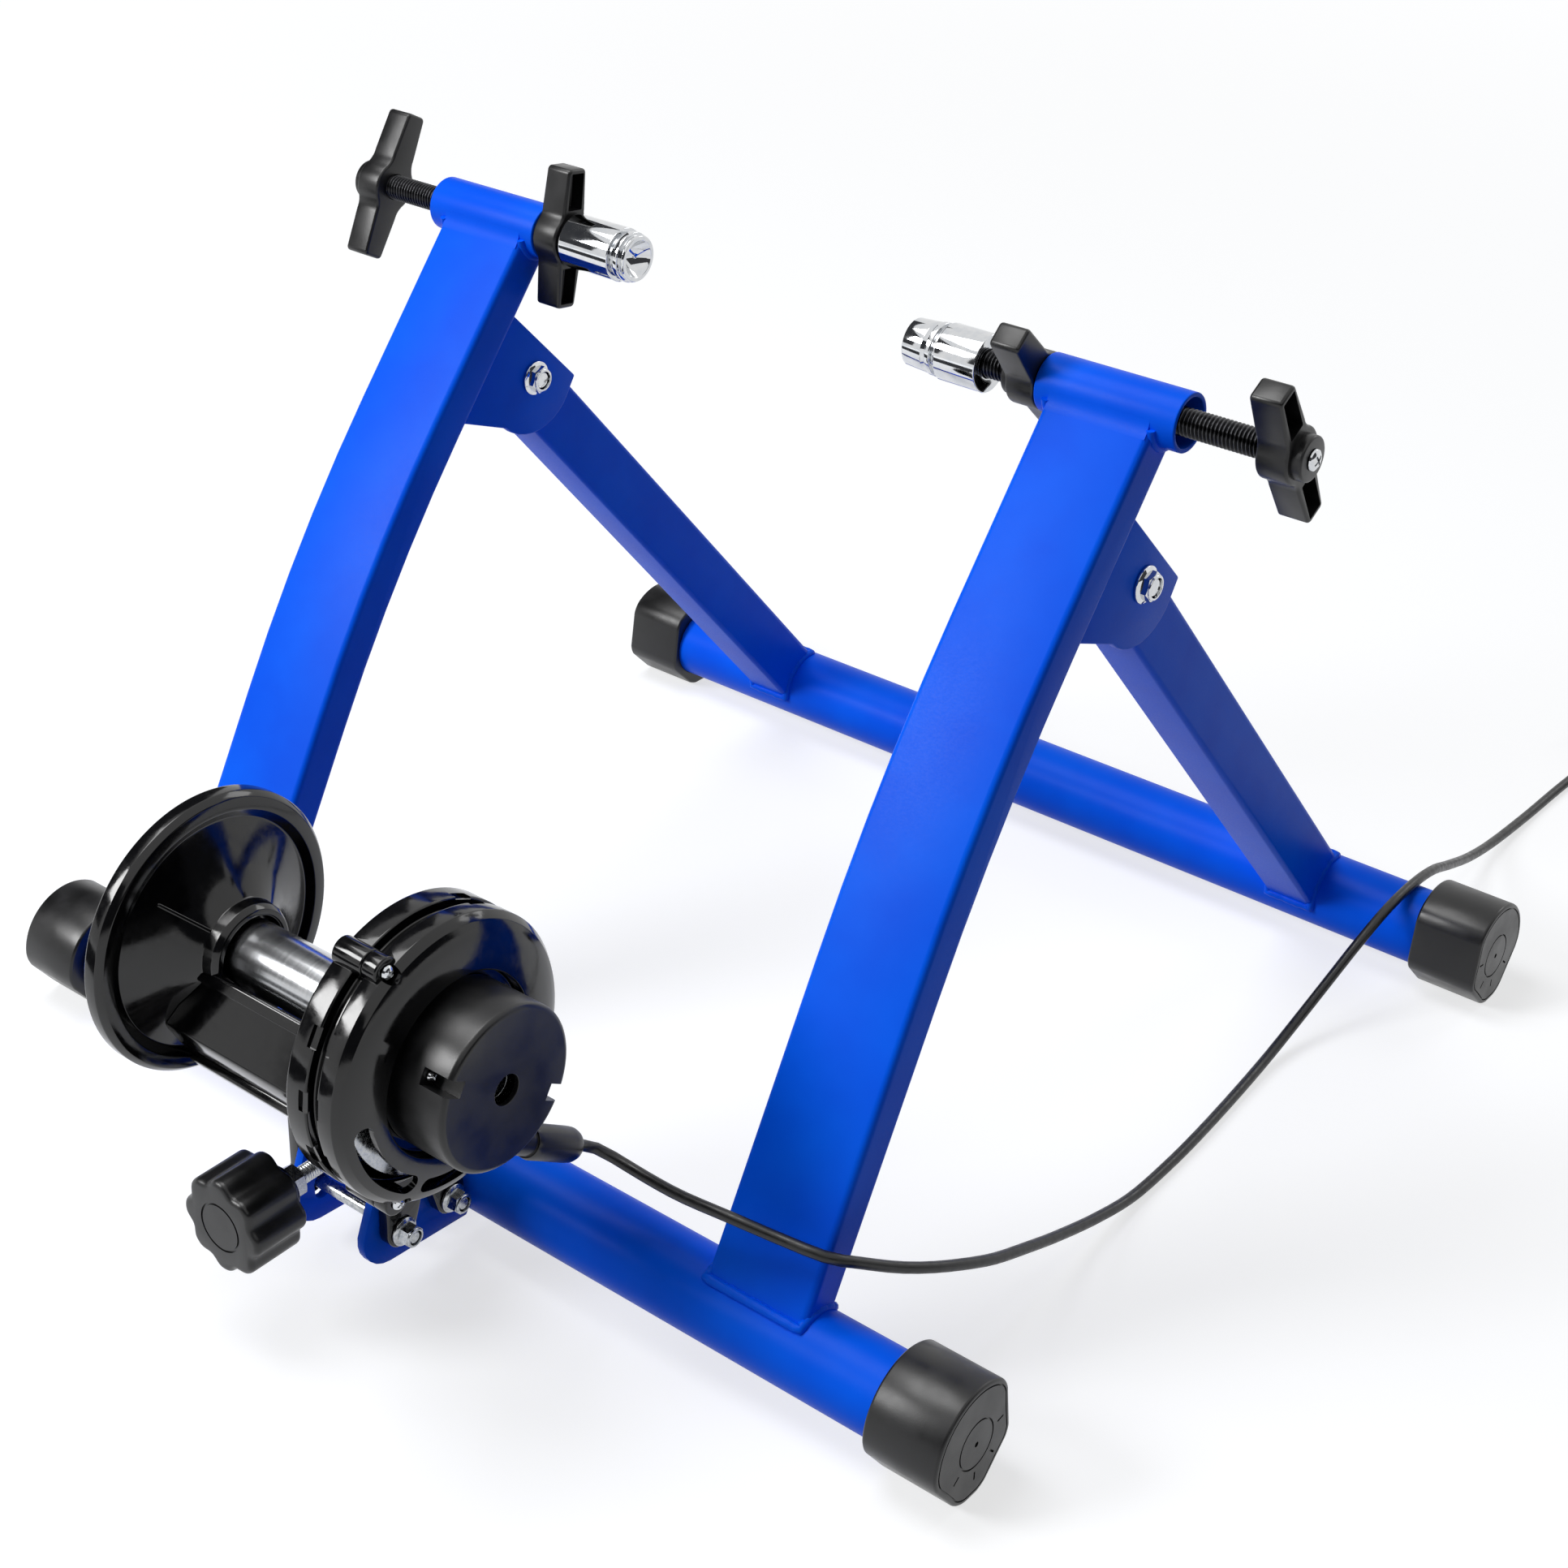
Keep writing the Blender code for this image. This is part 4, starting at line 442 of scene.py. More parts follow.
def pressed_ferrite():
    """Pressed and fired ferrite: charcoal and dull, with a grain of 0.4 mm."""
    made, tree, shader, place = new_material("pressed_ferrite", {"Roughness": 0.55, "IOR": 2.0})
    grain = add(tree, "ShaderNodeTexNoise", (), {"Scale": 1 / (0.4 * MM), "Detail": 3.0},
                {"Vector": place})
    tint = add(tree, "ShaderNodeMix", {"data_type": "RGBA"},
               {"A": linear("1c1c1e"), "B": linear("2c2c2f")}, {"Factor": grain.outputs["Fac"]})
    tree.links.new(tint.outputs["Result"], shader.inputs["Base Color"])
    bump = add(tree, "ShaderNodeBump", (), {"Strength": 0.3, "Distance": 0.02 * MM},
               {"Height": grain.outputs["Fac"]})
    tree.links.new(bump.outputs["Normal"], shader.inputs["Normal"])
    return made


FINISHES = {
    "blue_powder_coat": powder_coat(),
    "gloss_black_plastic": polished_moulding(),
    "black_plastic": textured_moulding(),
    "black_rubber": cable_sheath(),
    "chrome": bright_chrome(),
    "zinc_steel": zinc_plate(),
    "turned_steel": turned_bar(),
    "black_oxide_steel": blackened_steel(),
    "aluminium": rolled_aluminium(),
    "magnet": pressed_ferrite(),
}


# Making and dressing pieces

def place_mesh(name, mesh, origin, axis):
    """Links a mesh as a piece, with its place moved into its vertices."""
    mesh.transform(Matrix.Translation(origin) @ Euler(axis).to_matrix().to_4x4())
    made = bpy.data.objects.new(name, mesh)
    bpy.context.scene.collection.objects.link(made)
    return made


def eased(profile, ease):
    """The profile with each sharp corner off the axis replaced by a small arc."""
    closed = profile[0][0] > 1e-7
    count = len(profile)
    result = []
    for i, point in enumerate(profile):
        here = Vector(point)
        if not closed and i in (0, count - 1):
            result.append(tuple(here))
            continue
        before = Vector(profile[i - 1]) - here
        after = Vector(profile[(i + 1) % count]) - here
        if before.length < 1e-7 or after.length < 1e-7:
            continue
        bend = pi - before.angle(after)
        if here.x < 1e-6 or bend < radians(22):
            result.append(tuple(here))
            continue
        reach = min(ease * tan(bend / 2), 0.42 * before.length, 0.42 * after.length)
        first, last = here + reach * before.normalized(), here + reach * after.normalized()
        pieces = 4 if bend > radians(50) else 2
        for k in range(pieces + 1):
            t = k / pieces
            result.append(tuple((1 - t) ** 2 * first + 2 * t * (1 - t) * here + t * t * last))
    return result


def turned(name, profile, origin, axis, steps=None, ease=0.4 * MM, start=0.0):
    """A profile of (radius, height) turned round local z, its outer side from top to bottom. It
    either starts and ends on the axis or closes on itself."""
    steps = steps or TURN_STEPS
    closed = profile[0][0] > 1e-7
    line = eased(profile, ease) if ease else list(profile)
    turns = [start + 2 * pi * i / steps for i in range(steps)]
    verts, rings = [], []
    for radius, height in line:
        if radius < 1e-7:
            rings.append([len(verts)] * steps)
            verts.append((0.0, 0.0, height))
        else:
            rings.append(list(range(len(verts), len(verts) + steps)))
            verts += [(radius * cos(turn), radius * sin(turn), height) for turn in turns]
    pairs = list(zip(rings, rings[1:]))
    if closed:
        pairs.append((rings[-1], rings[0]))
    faces = []
    for upper, lower in pairs:
        for i in range(steps):
            j = (i + 1) % steps
            loop = [upper[i], lower[i], lower[j], upper[j]]
            loop = [v for k, v in enumerate(loop) if v != loop[k - 1]]
            if len(loop) > 2:
                faces.append(loop)
    mesh = bpy.data.meshes.new(name)
    mesh.from_pydata(verts, [], faces)
    return place_mesh(name, mesh, origin, axis)


def slab(name, outline, low, high, origin, axis, holes=(), bevel=0.0, segments=3, angle=30):
    """A flat outline of local (x, y) points, filled and given its thickness from low to high."""
    curve = bpy.data.curves.new(name, "CURVE")
    curve.dimensions = "2D"
    curve.fill_mode = "BOTH"
    curve.extrude = (high - low) / 2
    for loop in (outline, *holes):
        spline = curve.splines.new("POLY")
        spline.points.add(len(loop) - 1)
        for point, (x, y) in zip(spline.points, loop):
            point.co = (x, y, 0, 1)
        spline.use_cyclic_u = True
    carrier = bpy.data.objects.new(name + "_outline", curve)
    bpy.context.scene.collection.objects.link(carrier)
    mesh = shown_mesh(carrier)
    bpy.data.objects.remove(carrier, do_unlink=True)
    bpy.data.curves.remove(curve)
    work = bmesh.new()
    work.from_mesh(mesh)
    bmesh.ops.remove_doubles(work, verts=work.verts, dist=1e-6)
    bmesh.ops.dissolve_limit(work, angle_limit=radians(0.2), verts=work.verts, edges=work.edges)
    bmesh.ops.recalc_face_normals(work, faces=work.faces)
    work.to_mesh(mesh)
    work.free()
    mesh.transform(Matrix.Translation((0, 0, (low + high) / 2)))
    made = place_mesh(name, mesh, origin, axis)
    if bevel:
        round_edges(made, bevel, segments, angle)
    return made


def shown_mesh(made):
    """The piece's mesh with its modifiers applied."""
    bpy.context.view_layer.update()
    graph = bpy.context.evaluated_depsgraph_get()
    mesh = bpy.data.meshes.new_from_object(made.evaluated_get(graph))
    mesh.materials.clear()
    return mesh


def round_edges(made, width, segments=3, angle=30):
    bevel = made.modifiers.new("round", "BEVEL")
    bevel.width = width
    bevel.segments = segments
    bevel.limit_method = "ANGLE"
    bevel.angle_limit = radians(angle)
    bevel.use_clamp_overlap = True
    return made


def combine(made, other, operation):
    step = made.modifiers.new(other.name, "BOOLEAN")
    step.operation = operation
    step.solver = "EXACT"
    step.object = other
    return made


def cut(made, *others):
    for other in others:
        combine(made, other, "DIFFERENCE")
    return made


def join(made, *others):
    for other in others:
        combine(made, other, "UNION")
    return made


def settle(made, sharp=32):
    """Applies the piece's modifiers, removes their cutters and shades it smooth."""
    if made.modifiers:
        used = [step.object for step in made.modifiers if step.type == "BOOLEAN"]
        for other in used:
            settle(other)
        mesh = shown_mesh(made)
        made.modifiers.clear()
        made.data = mesh
        for other in used:
            bpy.data.objects.remove(other, do_unlink=True)
    mesh = made.data
    work = bmesh.new()
    work.from_mesh(mesh)
    bmesh.ops.remove_doubles(work, verts=work.verts, dist=1e-6)
    bmesh.ops.dissolve_degenerate(work, edges=work.edges, dist=1e-6)
    work.to_mesh(mesh)
    work.free()
    mesh.shade_smooth()
    mesh.set_sharp_from_angle(angle=radians(sharp))
    return made


def dress(made, node, replaces=True, sharp=32):
    """Finishes a piece and lets it stand for the frame's node, or ride beside it."""
    if made.type == "MESH":
        settle(made, sharp)
    made.data.materials.clear()
    made.data.materials.append(FINISHES[SLOT_OF[node]])
    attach(made, BODY_OF[node])
    if replaces:
        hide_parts(node)
    return made


def beside(made, node, sharp=32):
    return dress(made, node, False, sharp)


def tube(name, points, radius, closed=False, resolution=5):
    """A round line through points."""
    curve = bpy.data.curves.new(name, "CURVE")
    curve.dimensions = "3D"
    curve.bevel_depth = radius
    curve.bevel_resolution = resolution
    curve.use_fill_caps = True
    spline = curve.splines.new("POLY")
    spline.points.add(len(points) - 1)
    for point, place in zip(spline.points, points):
        point.co = (*place, 1)
    spline.use_cyclic_u = closed
    spline.use_smooth = True
    made = bpy.data.objects.new(name, curve)
    bpy.context.scene.collection.objects.link(made)
    return made


def arc(centre, radius, first, last, count):
    """Points from one angle to another, in degrees."""
    span = [radians(first + (last - first) * i / count) for i in range(count + 1)]
    return [(centre[0] + radius * cos(a), centre[1] + radius * sin(a)) for a in span]


def rod_profile(radius, low, high, chamfer=0.0):
    if chamfer:
        return [(0, high), (radius - chamfer, high), (radius, high - chamfer),
                (radius, low + chamfer), (radius - chamfer, low), (0, low)]
    return [(0, high), (radius, high), (radius, low), (0, low)]


def ring_profile(outer, inner, low, high):
    return [(outer, high), (outer, low), (inner, low), (inner, high)]


def polygon(radius, sides, turn=0.0):
    return [(radius * cos(turn + 2 * pi * i / sides), radius * sin(turn + 2 * pi * i / sides))
            for i in range(sides)]


def from_origin(points, origin):
    return [(y - origin[0], z - origin[1]) for y, z in points]


def rotated(points, turn):
    return [(x * cos(turn) - y * sin(turn), x * sin(turn) + y * cos(turn)) for x, y in points]


def rectangle(left, right, half):
    """From left to right along local x, and as far as half to each side of it."""
    return [(left, -half), (right, -half), (right, half), (left, half)]


def mirrored(points, side):
    """X values of the right side, ordered low to high for either side."""
    return sorted(side * x for x in points)


def side_name(side):
    return "right" if side > 0 else "left"


def flipped(profile, side):
    """The same turned profile on the right, or mirrored to the left, still top to bottom."""
    return profile if side > 0 else [(r, -h) for r, h in profile][::-1]


def rear_leg_axis():
    along = Vector(REAR_RAIL) - Vector(FOLD)
    length = along.length
    along /= length
    return along, Vector((-along.y, along.x)), length


def polar(radius, angle):
    return (radius * cos(angle), radius * sin(angle))


def guide_slot(clear):
    """Slot in which the guide bolt follows the tilting unit, an arc about the unit's pivot."""
    reach = Vector(UNIT_GUIDE) - Vector(UNIT_PIVOT)
    base = degrees(atan2(reach.y, reach.x)) % 360
    half = UNIT_BOLT_R + clear
    low, high = base - 1, base + degrees(TILT_OUT) + 1
    outer = arc(UNIT_PIVOT, reach.length + half, low, high, 6)
    inner = arc(UNIT_PIVOT, reach.length - half, high, low, 6)
    ends = []
    for angle, turn in ((high, 0), (low, 180)):
        middle = (UNIT_PIVOT[0] + reach.length * cos(radians(angle)),
                  UNIT_PIVOT[1] + reach.length * sin(radians(angle)))
        ends.append(arc(middle, half, angle + turn, angle + turn + 180, 6)[1:-1])
    return outer + ends[0] + inner + ends[1]


def bracket_outline():
    y = CLAMP_Y
    nose = arc((y - 268.5 * MM, 28.0 * MM), 16.0 * MM, -95, -190, 6)
    crown = arc(TRUNNION, 11.5 * MM, 165, 25, 6)
    seat = [(y - 249.5 * MM, 53.0 * MM), (y - 228.0 * MM, 50.0 * MM)]
    saddle = arc(FRONT_RAIL, RAIL_R + GAP, 118, 232, 8)
    return nose + crown + seat + saddle + [(y - 224.0 * MM, 8.6 * MM)]


def lug_outline():
    lobe = 8.0 * MM
    py, pz = UNIT_PIVOT
    gy, gz = UNIT_GUIDE
    top = UNIT[1] - 54.0 * MM
    front = arc(UNIT_GUIDE, lobe, 180, 345, 10)
    rear = arc(UNIT_PIVOT, lobe, 195, 360, 10)
    notch = [(gy + 11.5 * MM, gz + 9.5 * MM), (py - 11.2 * MM, pz + 9.5 * MM)]
    back = [(py + 6.0 * MM, pz + 25.0 * MM), (py + 6.0 * MM, top)]
    return [(gy - lobe, top)] + front + notch + rear + back


def lug_range(side):
    outer = PLATE_OUTER[side] + side * 0.5 * MM
    return sorted((outer, outer + side * LUG))


def yoke_outline():
    y, z = UNIT
    outer = [(y - 18.0 * MM, z - 2.0 * MM), (y - 32.0 * MM, z - 27.5 * MM),
             (y - 31.2 * MM, z - 30.0 * MM), (y - 25.5 * MM, z - 40.0 * MM),
             (y - 17.5 * MM, z - 50.0 * MM), (y + 10.0 * MM, z - 56.0 * MM),
             (y + 53.0 * MM, z - 56.0 * MM)]
    inner = [(y + 53.0 * MM, z - 53.0 * MM), (y + 11.0 * MM, z - 53.0 * MM),
             (y - 15.5 * MM, z - 46.8 * MM), (y - 22.6 * MM, z - 38.0 * MM),
             (y - 28.6 * MM, z - 28.0 * MM), (y - 15.6 * MM, z - 4.4 * MM)]
    return outer + inner


def drum_profile(grow=0.0):
    """Outer side of the bell-shaped drum, from its hub to its rim."""
    return [(16.0 * MM - grow, -40.5 * MM + grow), (19.0 * MM + grow, -40.5 * MM + grow),
            (20.8 * MM + grow, -43.0 * MM + grow), (21.2 * MM + grow, -48.5 * MM + grow),
            (33.0 * MM + grow, -57.5 * MM + grow), (50.5 * MM, -65.0 * MM + grow),
            (54.5 * MM, DRUM_FACE + grow), (59.8 * MM, DRUM_FACE - 0.4 * MM + grow),
            (DRUM_R + grow, DRUM_FACE - 3.0 * MM), (DRUM_R + grow, DRUM_LEFT)]


def round_unit(radius, angle):
    """A place at some distance from the unit's axis, with the angle in degrees from +Y."""
    return (UNIT[0] + radius * cos(radians(angle)), UNIT[1] + radius * sin(radians(angle)))


def gland_line(reach):
    """A point on the cable's line where it leaves the cable drum, below and behind the axis."""
    along = Vector((cos(GLAND_DROP), -sin(GLAND_DROP)))
    below = Vector((along.y, -along.x))
    place = Vector(UNIT) + CABLE_DRUM_R * below + reach * along
    return (GLAND_X, place.x, place.y)


def cable_points():
    """Chosen points of the route, in metres. The cable leaves the boot, lies across the front of
    the right leg, drops to the floor behind it and climbs over the rear rail."""
    y = CLAMP_Y
    return [
        *(gland_line(GLAND_END + reach) for reach in (GAP, GAP + 2 * CABLE_R, 14 * MM)),
        (0.0935, y - 0.2175, 0.0765), (0.1080, y - 0.2165, 0.0745), (0.1300, y - 0.2185, 0.0765),
        (0.1556, y - 0.2182, 0.0790), (0.1760, y - 0.2127, 0.0760), (0.1968, y - 0.2083, 0.0750),
        (0.2046, y - 0.1950, 0.0680), (0.2110, y - 0.1800, 0.0600), (0.2165, y - 0.1650, 0.0535),
        (0.2205, y - 0.1480, 0.0465), (0.2228, y - 0.1280, 0.0380), (0.2232, y - 0.1030, 0.0285),
        (0.2230, y - 0.0790, 0.0195), (0.2232, y - 0.0478, 0.0100), (0.2236, y - 0.0180, 0.0040),
        (0.2230, y + 0.0137, 0.0026), (0.2218, y + 0.0420, 0.0026), (0.2190, y + 0.0790, 0.0026),
        (0.2165, y + 0.1144, 0.0045), (0.2165, y + 0.1430, 0.0120), (0.2195, y + 0.1640, 0.0245),
        (0.2230, y + 0.1850, 0.0380), (0.2250, y + 0.2080, 0.0470), (0.2250, y + 0.2340, 0.0487),
        (0.2230, y + 0.2600, 0.0435), (0.2190, y + 0.2900, 0.0310), (0.2145, y + 0.3260, 0.0170),
        (0.2110, y + 0.3640, 0.0070), (0.2100, y + 0.4086, 0.0029), (0.2104, y + 0.4500, 0.0026),
        coil_start(24 * MM), coil_start(GAP + 4 * CABLE_R), coil_start(GAP)]


def coil_start(before):
    """A point on the cable's straight line, some way before the coil's first end."""
    return (COIL_CENTRE[0] - coil_radius(0), COIL_CENTRE[1] - 2 * CABLE_R - before,
            CABLE_R + 0.1 * MM)


def run(points):
    return sum((b - a).length for a, b in zip(points, points[1:]))


def smooth(points, spacing):
    """Points at even steps on a Catmull-Rom curve through the given ones."""
    dense = []
    for i in range(len(points) - 1):
        p0 = Vector(points[max(i - 1, 0)])
        p1, p2 = Vector(points[i]), Vector(points[i + 1])
        p3 = Vector(points[min(i + 2, len(points) - 1)])
        for k in range(16):
            t = k / 16
            dense.append(0.5 * (2 * p1 + (p2 - p0) * t + (2 * p0 - 5 * p1 + 4 * p2 - p3) * t * t
                                + (3 * p1 - p0 - 3 * p2 + p3) * t ** 3))
    dense.append(Vector(points[-1]))
    length = run(dense)
    count = max(2, round(length / spacing))
    result, walked, want = [dense[0]], 0.0, length / count
    for a, b in zip(dense, dense[1:]):
        step = (b - a).length
        while step and walked + step >= want * len(result) and len(result) < count:
            result.append(a + (b - a) * ((want * len(result) - walked) / step))
        walked += step
    return result + [dense[-1]]


def coil_radius(turn):
    """Spirals in at a steady rate to the middle turn, then out again."""
    middle = COIL_TURNS / 2
    return COIL_MIDDLE + COIL_PITCH * (abs(turn - middle) - middle / 2)


def coil_points():
    count = COIL_TURNS * POINTS_PER_TURN
    points = []
    for i in range(count + 1):
        turn = i / POINTS_PER_TURN
        climb = min(max((turn - COIL_TURNS / 2 + 0.25) / 0.5, 0.0), 1.0)
        angle = pi - 2 * pi * turn
        points.append(Vector((COIL_CENTRE[0] + coil_radius(turn) * cos(angle),
                              COIL_CENTRE[1] + coil_radius(turn) * sin(angle),
                              CABLE_R + 0.1 * MM + COIL_PITCH * climb)))
    straight = Vector((0, 2 * CABLE_R, 0))
    return [points[0] - straight] + points + [points[-1] + 4 * straight]


def leg_side(offset):
    """Side view of a line in the leg, offset rearwards from its front face."""
    along1 = Vector((cos(LOWER_LEAN), sin(LOWER_LEAN)))
    along2 = Vector((cos(UPPER_LEAN), sin(UPPER_LEAN)))
    back1 = Vector((along1.y, -along1.x))
    back2 = Vector((along2.y, -along2.x))
    start = Vector(FRONT_RAIL) - LEG_AHEAD_OF_RAIL * back1
    end = Vector(CLAMP) - LEG_AHEAD_OF_HEAD * back2
    # Corner of the two front lines, then the arc that rounds it
    span = end - start
    reach = ((span.x * along2.y - span.y * along2.x)
             / (along1.x * along2.y - along1.y * along2.x))
    corner = start + reach * along1
    radius = BEND_TANGENT / tan((LOWER_LEAN - UPPER_LEAN) / 2)
    centre = corner - BEND_TANGENT * along1 + radius * back1
    points = [start + offset * back1]
    for i in range(6):
        lean = LOWER_LEAN + (UPPER_LEAN - LOWER_LEAN) * i / 5
        points.append(centre - (radius - offset) * Vector((sin(lean), -cos(lean))))
    points.append(end + offset * back2)
    return [tuple(p) for p in points]


def ear_outline(inset=0.0, reach=0.0):
    along, above, _ = rear_leg_axis()
    lean = Vector((cos(UPPER_LEAN), sin(UPPER_LEAN)))
    back = Vector((lean.y, -lean.x))
    face = Vector(CLAMP) + (FRONT_LEG_DEPTH - LEG_AHEAD_OF_HEAD + GAP + inset) * back
    pivot = Vector(FOLD)
    top = face - EAR_TOP * lean
    foot = face - EAR_FOOT * lean
    corner = pivot + EAR_REACH * along + EAR_EDGE * above
    toe = degrees(atan2(along.y, along.x)) + 6
    round_end = arc(FOLD, EAR_R, toe, -135, 9)
    points = [tuple(foot), tuple(top), tuple(corner)] + round_end
    if reach:
        low, high, far = foot - reach * lean, top + reach * lean, 3 * EAR_R * back
        points = [tuple(low), tuple(high), tuple(high + far), tuple(low + far)]
    return points


# Stand

def painted_rails():
    half = STAND_WIDTH / 2 - FOOT_END - GAP
    profile = ring_profile(RAIL_R, RAIL_R - RAIL_WALL, -half, half)
    for node, axis in (("front_rail", FRONT_RAIL), ("rear_rail", REAR_RAIL)):
        dress(turned(node + "_tube", profile, (0, *axis), AXIS_X), node)


def cope(name, x, axis, radius):
    """Cutter for a leg's end, round the tube that it is welded to."""
    profile = rod_profile(radius + 0.02 * MM, -FRONT_LEG_WIDTH, FRONT_LEG_WIDTH)
    return turned(name, profile, (x, *axis), AXIS_X, ease=0, start=radians(2))


def weld_line(name, node, axis, radius, angles, x, half):
    """A painted fillet weld round a leg's end, where its outline meets a rail."""
    first, last = angles
    loop = []
    lift = radius + 0.4 * MM
    for end, span in ((half, (first, last)), (-half, (last, first))):
        for i in range(25):
            angle = radians(span[0] + (span[1] - span[0]) * i / 24)
            loop.append(Vector((x + end, axis[0] + lift * cos(angle), axis[1] + lift * sin(angle))))
    points, count = [], len(loop)
    for i, here in enumerate(loop):
        after = loop[(i + 1) % count]
        pieces = max(1, round((after - here).length / (2.2 * MM)))
        points += [here.lerp(after, k / pieces) for k in range(pieces)]
    for i, point in enumerate(points):
        ripple = 0.25 * MM * sin(i * 2.4) + 0.15 * MM * sin(i * 1.1 + x * 50)
        outward = Vector((0, point.y - axis[0], point.z - axis[1])).normalized()
        point += ripple * outward
    return beside(tube(name, points, 2.2 * MM, True, 3), node)


def rail_crossing(line, axis, radius):
    """Angle, in degrees about a tube's axis, at which a side line of the leg meets the tube."""
    best = None
    for (y0, z0), (y1, z1) in zip(line, line[1:]):
        for i in range(200):
            y, z = y0 + (y1 - y0) * i / 200, z0 + (z1 - z0) * i / 200
            miss = abs(hypot(y - axis[0], z - axis[1]) - radius)
            if best is None or miss < best[0]:
                best = (miss, degrees(atan2(z - axis[1], y - axis[0])))
    return best[1]


def head_join(node, side, x, front, back):
    """Beads beside the leg where it meets the head tube, and the ground and painted sweep in which
    its front face runs into it."""
    half = FRONT_LEG_WIDTH / 2
    first, last = (rail_crossing(line[-2:], CLAMP, HEAD_R) % 360 for line in (front, back))
    turns = [radians(first + (last - first) * i / 12) for i in range(13)]
    for name, end in (("inner", -side), ("outer", side)):
        bead = [(x + end * (half - 0.4 * MM),
                 *(Vector(CLAMP) + Vector(polar(HEAD_R + 0.3 * MM, turn)))) for turn in turns]
        beside(tube(node + "_head_weld_" + name, bead, 1.9 * MM, False, 3), node)
    drop = LEG_AHEAD_OF_HEAD + HEAD_SWEEP
    middle = sqrt((HEAD_R + HEAD_SWEEP) ** 2 - drop ** 2)
    first = atan2(drop, middle)
    turns = [first + (pi / 2 - first) * i / 8 for i in range(9)]
    down = [(middle - HEAD_SWEEP * cos(turn), drop - HEAD_SWEEP * sin(turn)) for turn in turns]
    down += [(middle, LEG_AHEAD_OF_HEAD - 0.6 * MM), (0.7 * middle, LEG_AHEAD_OF_HEAD - 2 * MM),
             (down[0][0] - 0.8 * MM, down[0][1] - 1.6 * MM)]
    lean = Vector((cos(UPPER_LEAN), sin(UPPER_LEAN)))
    ahead = Vector((-lean.y, lean.x))
    outline = [tuple(Vector(CLAMP) - along * lean + out * ahead) for along, out in down]
    beside(slab(node + "_head_sweep", outline, 1.5 * MM - half, half - 1.5 * MM, (x, 0, 0), AXIS_X),
           node, 60)


def front_legs(side):
    node = side_name(side) + "_front_leg"
    x, half = side * LEG_X, FRONT_LEG_WIDTH / 2
    front, back = leg_side(0), leg_side(FRONT_LEG_DEPTH)
    leg = slab(node + "_tube", front + back[::-1], -half, half, (x, 0, 0), AXIS_X,
               bevel=LEG_CORNER, segments=5)
    cut(leg, cope(node + "_rail_cope", x, FRONT_RAIL, RAIL_R + GAP),
        cope(node + "_head_cope", x, CLAMP, HEAD_R + GAP))
    dress(leg, node)
    angles = [rail_crossing(line[:2], FRONT_RAIL, RAIL_R) for line in (back, front)]
    weld_line(node + "_rail_weld", node, FRONT_RAIL, RAIL_R, angles, x, half - 1 * MM)
    head_join(node, side, x, front, back)


def head_tubes(side):
    node = side_name(side) + "_head_tube"
    profile = [(HEAD_R, HEAD_OUTER), (HEAD_R, HEAD_INNER), (ROD_R + GAP, HEAD_INNER),
               (ROD_R + GAP, HEAD_INNER + HEAD_NUT), (HEAD_BORE, HEAD_INNER + HEAD_NUT),
               (HEAD_BORE, HEAD_OUTER)]
    dress(turned(node + "_barrel", flipped(profile, side), CLAMP_AXIS, AXIS_X, ease=0.7 * MM), node)


def pivot_ears(side):
    node = side_name(side) + "_pivot_ear"
    low, high = mirrored((LEG_X - EAR_WIDTH / 2, LEG_X + EAR_WIDTH / 2), side)
    ear = slab(node + "_bracket", from_origin(ear_outline(), FOLD), low, high, (0, *FOLD), AXIS_X,
               bevel=1.0 * MM)
    cut(ear, slab(node + "_slot", from_origin(ear_outline(EAR_PLATE, 10 * MM), FOLD),
                  low + EAR_PLATE, high - EAR_PLATE, (0, *FOLD), AXIS_X),
        turned(node + "_hole", rod_profile(FOLD_BOLT_R + GAP, low - 5 * MM, high + 5 * MM),
               (0, *FOLD), AXIS_X, ease=0))
    dress(ear, node)


def hexagon_head(name, corner_r, low, high, axis, crown):
    """A hexagon with a turned chamfer on its outer face: the high one, or the low one for a crown
    of -1."""
    made = slab(name, polygon(corner_r, 6, radians(12)), low - MM, high + MM, (0, *axis), AXIS_X)
    inner, rim = corner_r * cos(radians(30)), corner_r + 0.05 * MM
    drop = 0.55 * (corner_r - inner)
    profile = [(0, high), (inner, high), (rim, high - drop), (rim, low), (0, low)]
    if crown < 0:
        profile = [(0, high), (rim, high), (rim, low + drop), (inner, low), (0, low)]
    return combine(made, turned(name + "_chamfer", profile, (0, *axis), AXIS_X, ease=0),
                   "INTERSECT")


def thread_mesh(name, radius, low, high, pitch, depth, origin, axis, runout=0.8 * MM, fine=20):
    """A rod with a cut thread: the crest and root follow a helix, and both ends are chamfered."""
    steps = max(2, round((high - low) / pitch * 6))
    verts, faces = [], []
    for k in range(steps + 1):
        height = low + (high - low) * k / steps
        for i in range(fine):
            angle = 2 * pi * i / fine
            phase = ((height - low) / pitch - i / fine) % 1.0
            bite = depth * (0.5 + 0.5 * cos(2 * pi * phase))
            near = min(height - low, high - height)
            reach = min(radius - bite, radius - max(0.0, runout - near))
            verts.append((reach * cos(angle), reach * sin(angle), height))
    for k in range(steps):
        for i in range(fine):
            a, b = k * fine + i, k * fine + (i + 1) % fine
            faces.append([a, b, b + fine, a + fine])
    faces.append(list(range(fine))[::-1])
    faces.append([steps * fine + i for i in range(fine)])
    mesh = bpy.data.meshes.new(name)
    mesh.from_pydata(verts, [], faces)
    return place_mesh(name, mesh, origin, axis)


